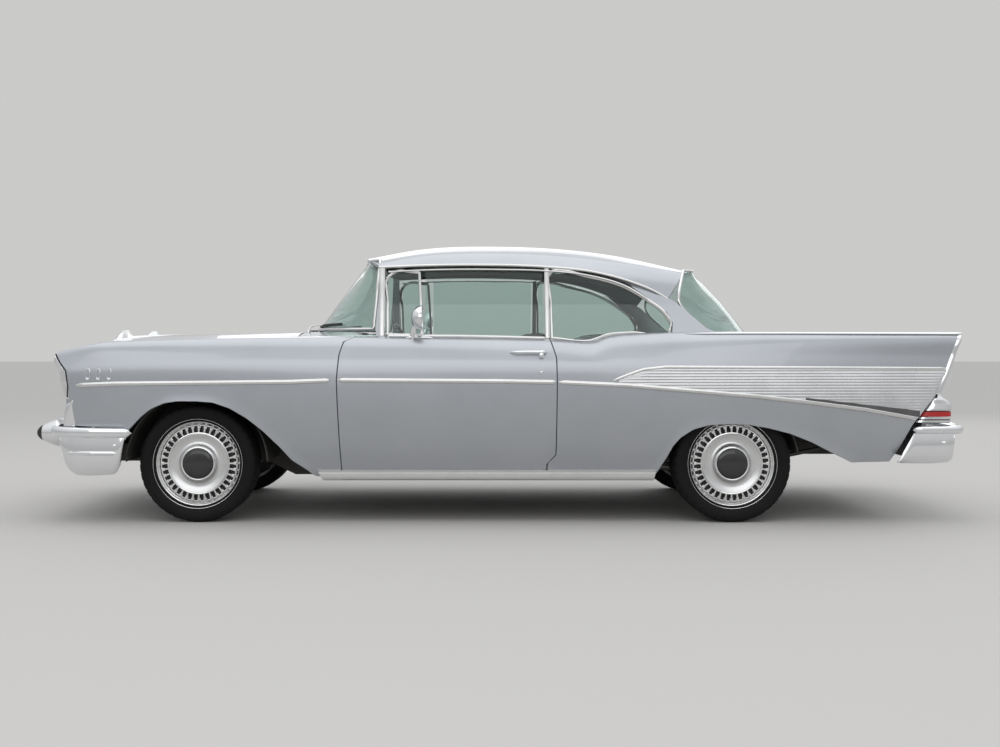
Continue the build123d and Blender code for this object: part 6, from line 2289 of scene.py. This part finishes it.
@dataclass
class Cabin:
    """Benches, carpet, side panels, visors and inner mirror.

    Attributes:
        floor_z: height of the floor under the carpet and the skirts.
        floor_half: half-width of the carpet.
        tunnel_half: half-width of the gap in the skirts over the tunnel.
    """

    floor_z: float = 356.0
    floor_half: float = 690.0
    tunnel_half: float = 132.0

    def benches(self) -> None:
        """Front and rear benches as four padded pieces on plain skirts."""
        for cushion in (
            Cushion("front_cushion", ((1206, 478), (1212, 556), (1262, 586), (1480, 582), (1680, 566),
                                      (1712, 540), (1700, 478), (1450, 474)), 628, (0, 0, 1),
                    ("front_seat",), (2, 4)),
            Cushion("front_backrest", ((1706, 590), (1734, 700), (1770, 840), (1808, 1000), (1838, 1052),
                                       (1900, 1058), (1936, 1040), (1912, 860), (1868, 620), (1790, 580)),
                    628, (-1, 0, .25), (), (0, 3)),
            Cushion("rear_cushion", ((2286, 478), (2288, 586), (2336, 612), (2480, 600), (2650, 584),
                                     (2676, 560), (2672, 530), (2490, 530), (2380, 478)), 568, (0, 0, 1),
                    ("rear_seat",), (2, 4)),
            Cushion("rear_backrest", ((2668, 612), (2700, 720), (2756, 880), (2786, 942), (2826, 954),
                                      (2852, 940), (2820, 800), (2770, 620), (2720, 600)), 568,
                    (-1, 0, .3), (), (0, 3)),
        ):
            cushion.build()

    def skirts(self) -> None:
        """Hard bases under both cushions, open over the tunnel."""
        soup = Soup()
        z0, z1 = self.floor_z, 486.0
        for x0, x1, half in ((1215, 1720, 624), (2290, 2350, 566)):
            width = half - self.tunnel_half
            for side in (-1, 1):
                middle = ((x0 + x1) / 2, side * (self.tunnel_half + width / 2), (z0 + z1) / 2)
                soup = joined(soup, boxes(np.array([middle]), np.array([(x1 - x0, width, z1 - z0)]), .985))
            soup = joined(soup, boxes(np.array([((x0 + x1) / 2, 0, 471)]), np.array([(x1 - x0, 270, 24)])))
        soup.piece("seat_skirts", VINYL, "body")

    def carpet(self) -> None:
        """Carpet over the floor and the tunnel."""
        wide = self.floor_half
        y = np.concatenate([np.linspace(-wide, -134, 14), [-126, -122, -116], np.linspace(-104, 104, 9),
                            [116, 122, 126], np.linspace(134, wide, 14)])
        x = np.linspace(830, 2376, 40)
        rise = np.interp(np.abs(y), (104, 116, 122, 126, 134), (458.5, 457.5, 440, 362, self.floor_z))
        xx, yy = spread(x, y)
        Soup().shell(xyz(xx, yy, rise), 4, 1, (0, 0, 1)).piece("cabin_carpet_mat", CARPET, "body")
        v, yy = spread(np.linspace(0, 1, 12), np.linspace(-wide, wide, 30))
        toe = xyz(836 + 60 * (1 - v) ** 2, yy, 358 + 330 * v)
        right = Soup().shell(toe[:, 17:], 4, 1, (1, 0, 0))
        joined(right, Soup().shell(toe[:, :13], 4, 1, (1, 0, 0))).piece("toe_board", CARPET, "body")

    @staticmethod
    def side_panels() -> None:
        """Trimmed walls beside the rear bench, with arm rests."""
        x, z = spread(np.linspace(1972, 2480, 50), np.linspace(362, 984, 34))
        pleats = 3 * np.abs(np.sin(math.pi * (x - 1972) / 46)) * np.exp(-((z - 740) / 110) ** 8)
        arm = 60 * np.exp(-((z - 640) / 34) ** 4) * np.clip((x - 2180) / 60, 0, 1)
        y = 742 - pleats - arm
        y = np.where(z > 940, y + (z - 940) * .5, y)
        Soup().shell(xyz(x, y, z), 8, 2, (0, -1, 0)).both().piece("rear_side_panels", VINYL, "body")

    @staticmethod
    def overhead() -> None:
        """Inner mirror on its stem and two sun visors."""
        stem = sweep(np.array([(930, 0, 1462), (958, 0, 1446), (978, 0, 1418)]), oval(5, 5, 10),
                     up=(0, 1, 0))
        y = np.linspace(-112, 112, 20)
        back = sweep(xyz(984.0, y, 1404.0), oval(8, 24, 18, .6),
                     scale=np.interp(np.abs(y), (0, 96, 108, 112), (1, 1, .8, .4)))
        joined(stem, back).piece("inner_mirror", CHROME, "body")
        boards = Soup()
        for side in (-1, 1):
            y = np.linspace(60, 520, 20) * side
            crown = 1449 - 14 * (np.abs(y) / 520) ** 2
            path = xyz(1010.0 + 26 * (np.abs(y) / 520) ** 2, y, crown - 12)
            boards = joined(boards, sweep(path, oval(66, 7, 20, .4)))
        boards.piece("sun_visors", HEADLINER, "body")

    @staticmethod
    def door_levers() -> None:
        """Window crank and release lever on each door card."""
        parts = []
        for x, z, reach in ((1250.0, 720.0, 92.0), (1130.0, 800.0, 70.0)):
            y = SIDE.half_width_at(x, z) - 92
            parts.append(turned([(y + 24, 15), (y, 13), (y - 12, 9), (y - 13, .01)], (x, 0, z), 24))
            t = np.linspace(0, 1, 10)
            path = xyz(x + reach * t, y - 8 - 10 * t, z - 18 * t)
            parts.append(sweep(path, oval(5, 4, 10), scale=np.linspace(1.2, .8, 10)))
            parts.append(turned([(y - 12, 6), (y - 30, 9), (y - 38, 8), (y - 40, .01)],
                                (x + reach, 0, z - 18), 20))
        for side in Side:
            joined(*parts).on(side).piece("door_levers_" + side.tag, CHROME, "door_" + side.tag)

    def build(self) -> None:
        """Builds the cabin."""
        self.benches()
        self.skirts()
        self.carpet()
        self.side_panels()
        self.overhead()
        self.door_levers()
        Dashboard().build()
        SteeringWheel().build()


# ------------------------------------------------------------------ stage
@dataclass
class Studio:
    """Camera, lamps, floor and world."""

    focal_px: float = 1283.5
    width_px: float = 1000.0
    distance: float = 7.85
    height: float = .98
    foot: float = -.0985
    vanish_px: float = 474.0
    rise_px: float = -30.5
    sensor: float = 36.0
    floor_reach: float = 60.0
    floor_colour: Colour = (.50, .49, .475)
    backdrop: Colour = (.55, .55, .54)
    glow: float = 1.08

    def camera(self) -> None:
        """Level camera square to the car's left side, shifted up and to one side."""
        lens = bpy.data.cameras.new("camera")
        lens.sensor_width = self.sensor
        lens.lens = self.focal_px / self.width_px * self.sensor
        lens.shift_x = .5 - self.vanish_px / self.width_px
        lens.shift_y = self.rise_px / self.width_px
        made = bpy.data.objects.new("camera", lens)
        made.location = (self.foot, -self.distance, self.height)
        made.rotation_euler = (math.pi / 2, 0, 0)
        bpy.context.scene.collection.objects.link(made)
        bpy.context.scene.camera = made

    def floor(self) -> None:
        """Plain pale floor."""
        mesh = bpy.data.meshes.new("floor")
        r = self.floor_reach
        mesh.from_pydata([(-r, -r, 0), (r, -r, 0), (r, r, 0), (-r, r, 0)], [], [(0, 1, 2, 3)])
        made = bpy.data.objects.new("floor", mesh)
        bpy.context.scene.collection.objects.link(made)
        material = bpy.data.materials.new("floor")
        material.use_nodes = True
        shader = material.node_tree.nodes["Principled BSDF"]
        shader.inputs["Base Color"].default_value = (*self.floor_colour, 1)
        shader.inputs["Roughness"].default_value = .85
        mesh.materials.append(material)

    def lamps(self) -> None:
        """A broad overhead box and two side fills."""
        for name, place, size, power, turn in (
            ("overhead", (0, -1.5, 6.5), (11, 8), 150, (math.radians(-12), 0, 0)),
            ("near_fill", (-1.5, -9, 4.2), (11, 4), 110, (math.radians(66), 0, 0)),
            ("far_fill", (2, 8, 4.5), (11, 4), 110, (math.radians(-62), 0, 0)),
        ):
            lamp = bpy.data.lights.new(name, "AREA")
            lamp.shape = "RECTANGLE"
            lamp.size, lamp.size_y = size
            lamp.energy = power
            made = bpy.data.objects.new(name, lamp)
            made.location = place
            made.rotation_euler = turn
            bpy.context.scene.collection.objects.link(made)

    def world(self) -> None:
        """Soft grey surroundings that brighten upwards, one plain grey where the camera sees them."""
        world = bpy.data.worlds.new("studio")
        bpy.context.scene.world = world
        world.use_nodes = True
        nodes = world.node_tree.nodes
        plant(world.node_tree, {"place": ("TexCoord", {}), "split": ("SeparateXYZ", {}),
                                "shift": ("MapRange", {"From Min": -1}), "ramp": ("ValToRGB", {}),
                                "path": ("LightPath", {}),
                                "mix": ("Mix", {"data_type": "RGBA", "B": (*self.backdrop, 1)})},
              ("place:Generated > split:Vector", "split:Z > shift:Value", "shift:Result > ramp:Fac",
               "path:Is Camera Ray > mix:Factor", "ramp:Color > mix:A", "mix:Result > Background:Color"))
        nodes["Background"].inputs["Strength"].default_value = self.glow
        stops = nodes["ramp"].color_ramp.elements
        stops[0].position, stops[0].color = .40, (.20, .20, .20, 1)
        stops[1].position, stops[1].color = .95, (.95, .96, .98, 1)
        stops.new(.5).color = (.42, .42, .42, 1)
        stops.new(.62).color = (.62, .63, .64, 1)

    def build(self) -> None:
        """Sets the stage."""
        self.camera()
        self.floor()
        self.lamps()
        self.world()
        bpy.context.scene.view_settings.view_transform = "Standard"


def dress_chassis() -> None:
    """Finishes for what carries the body and shows from below or through openings."""
    dress(["chassis_frame", "floor_pan", "wheelhouses", "fuel_tank", "radiator_support"], UNDERSIDE)
    dress(["firewall_cowl"], SILVER)
    dress(["front_suspension", "knuckle_left", "knuckle_right", "rear_axle", "driveline", "engine"], IRON)
    dress(["rear_springs"], SPRING)
    dress(["exhaust"], BARE)
    dress(["steering_column"], DASH)


def main() -> None:
    """Builds the car, part by part, and its stage."""
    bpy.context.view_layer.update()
    for assembly in (Studio, FrontEnd, Doors, Quarters, Greenhouse, TailEnd, SideTrim, Bumpers, Grille,
                     Cabin):
        assembly().build()
    for end, station, track in ((End.FRONT, 0.0, TRACK_FRONT), (End.REAR, WHEELBASE, TRACK_REAR)):
        for side in Side:
            Wheel(end, side, station, track).build()
    dress_chassis()


if __name__ == "__main__":
    logging.basicConfig(level=logging.INFO, format="%(name)s %(message)s")
    main()
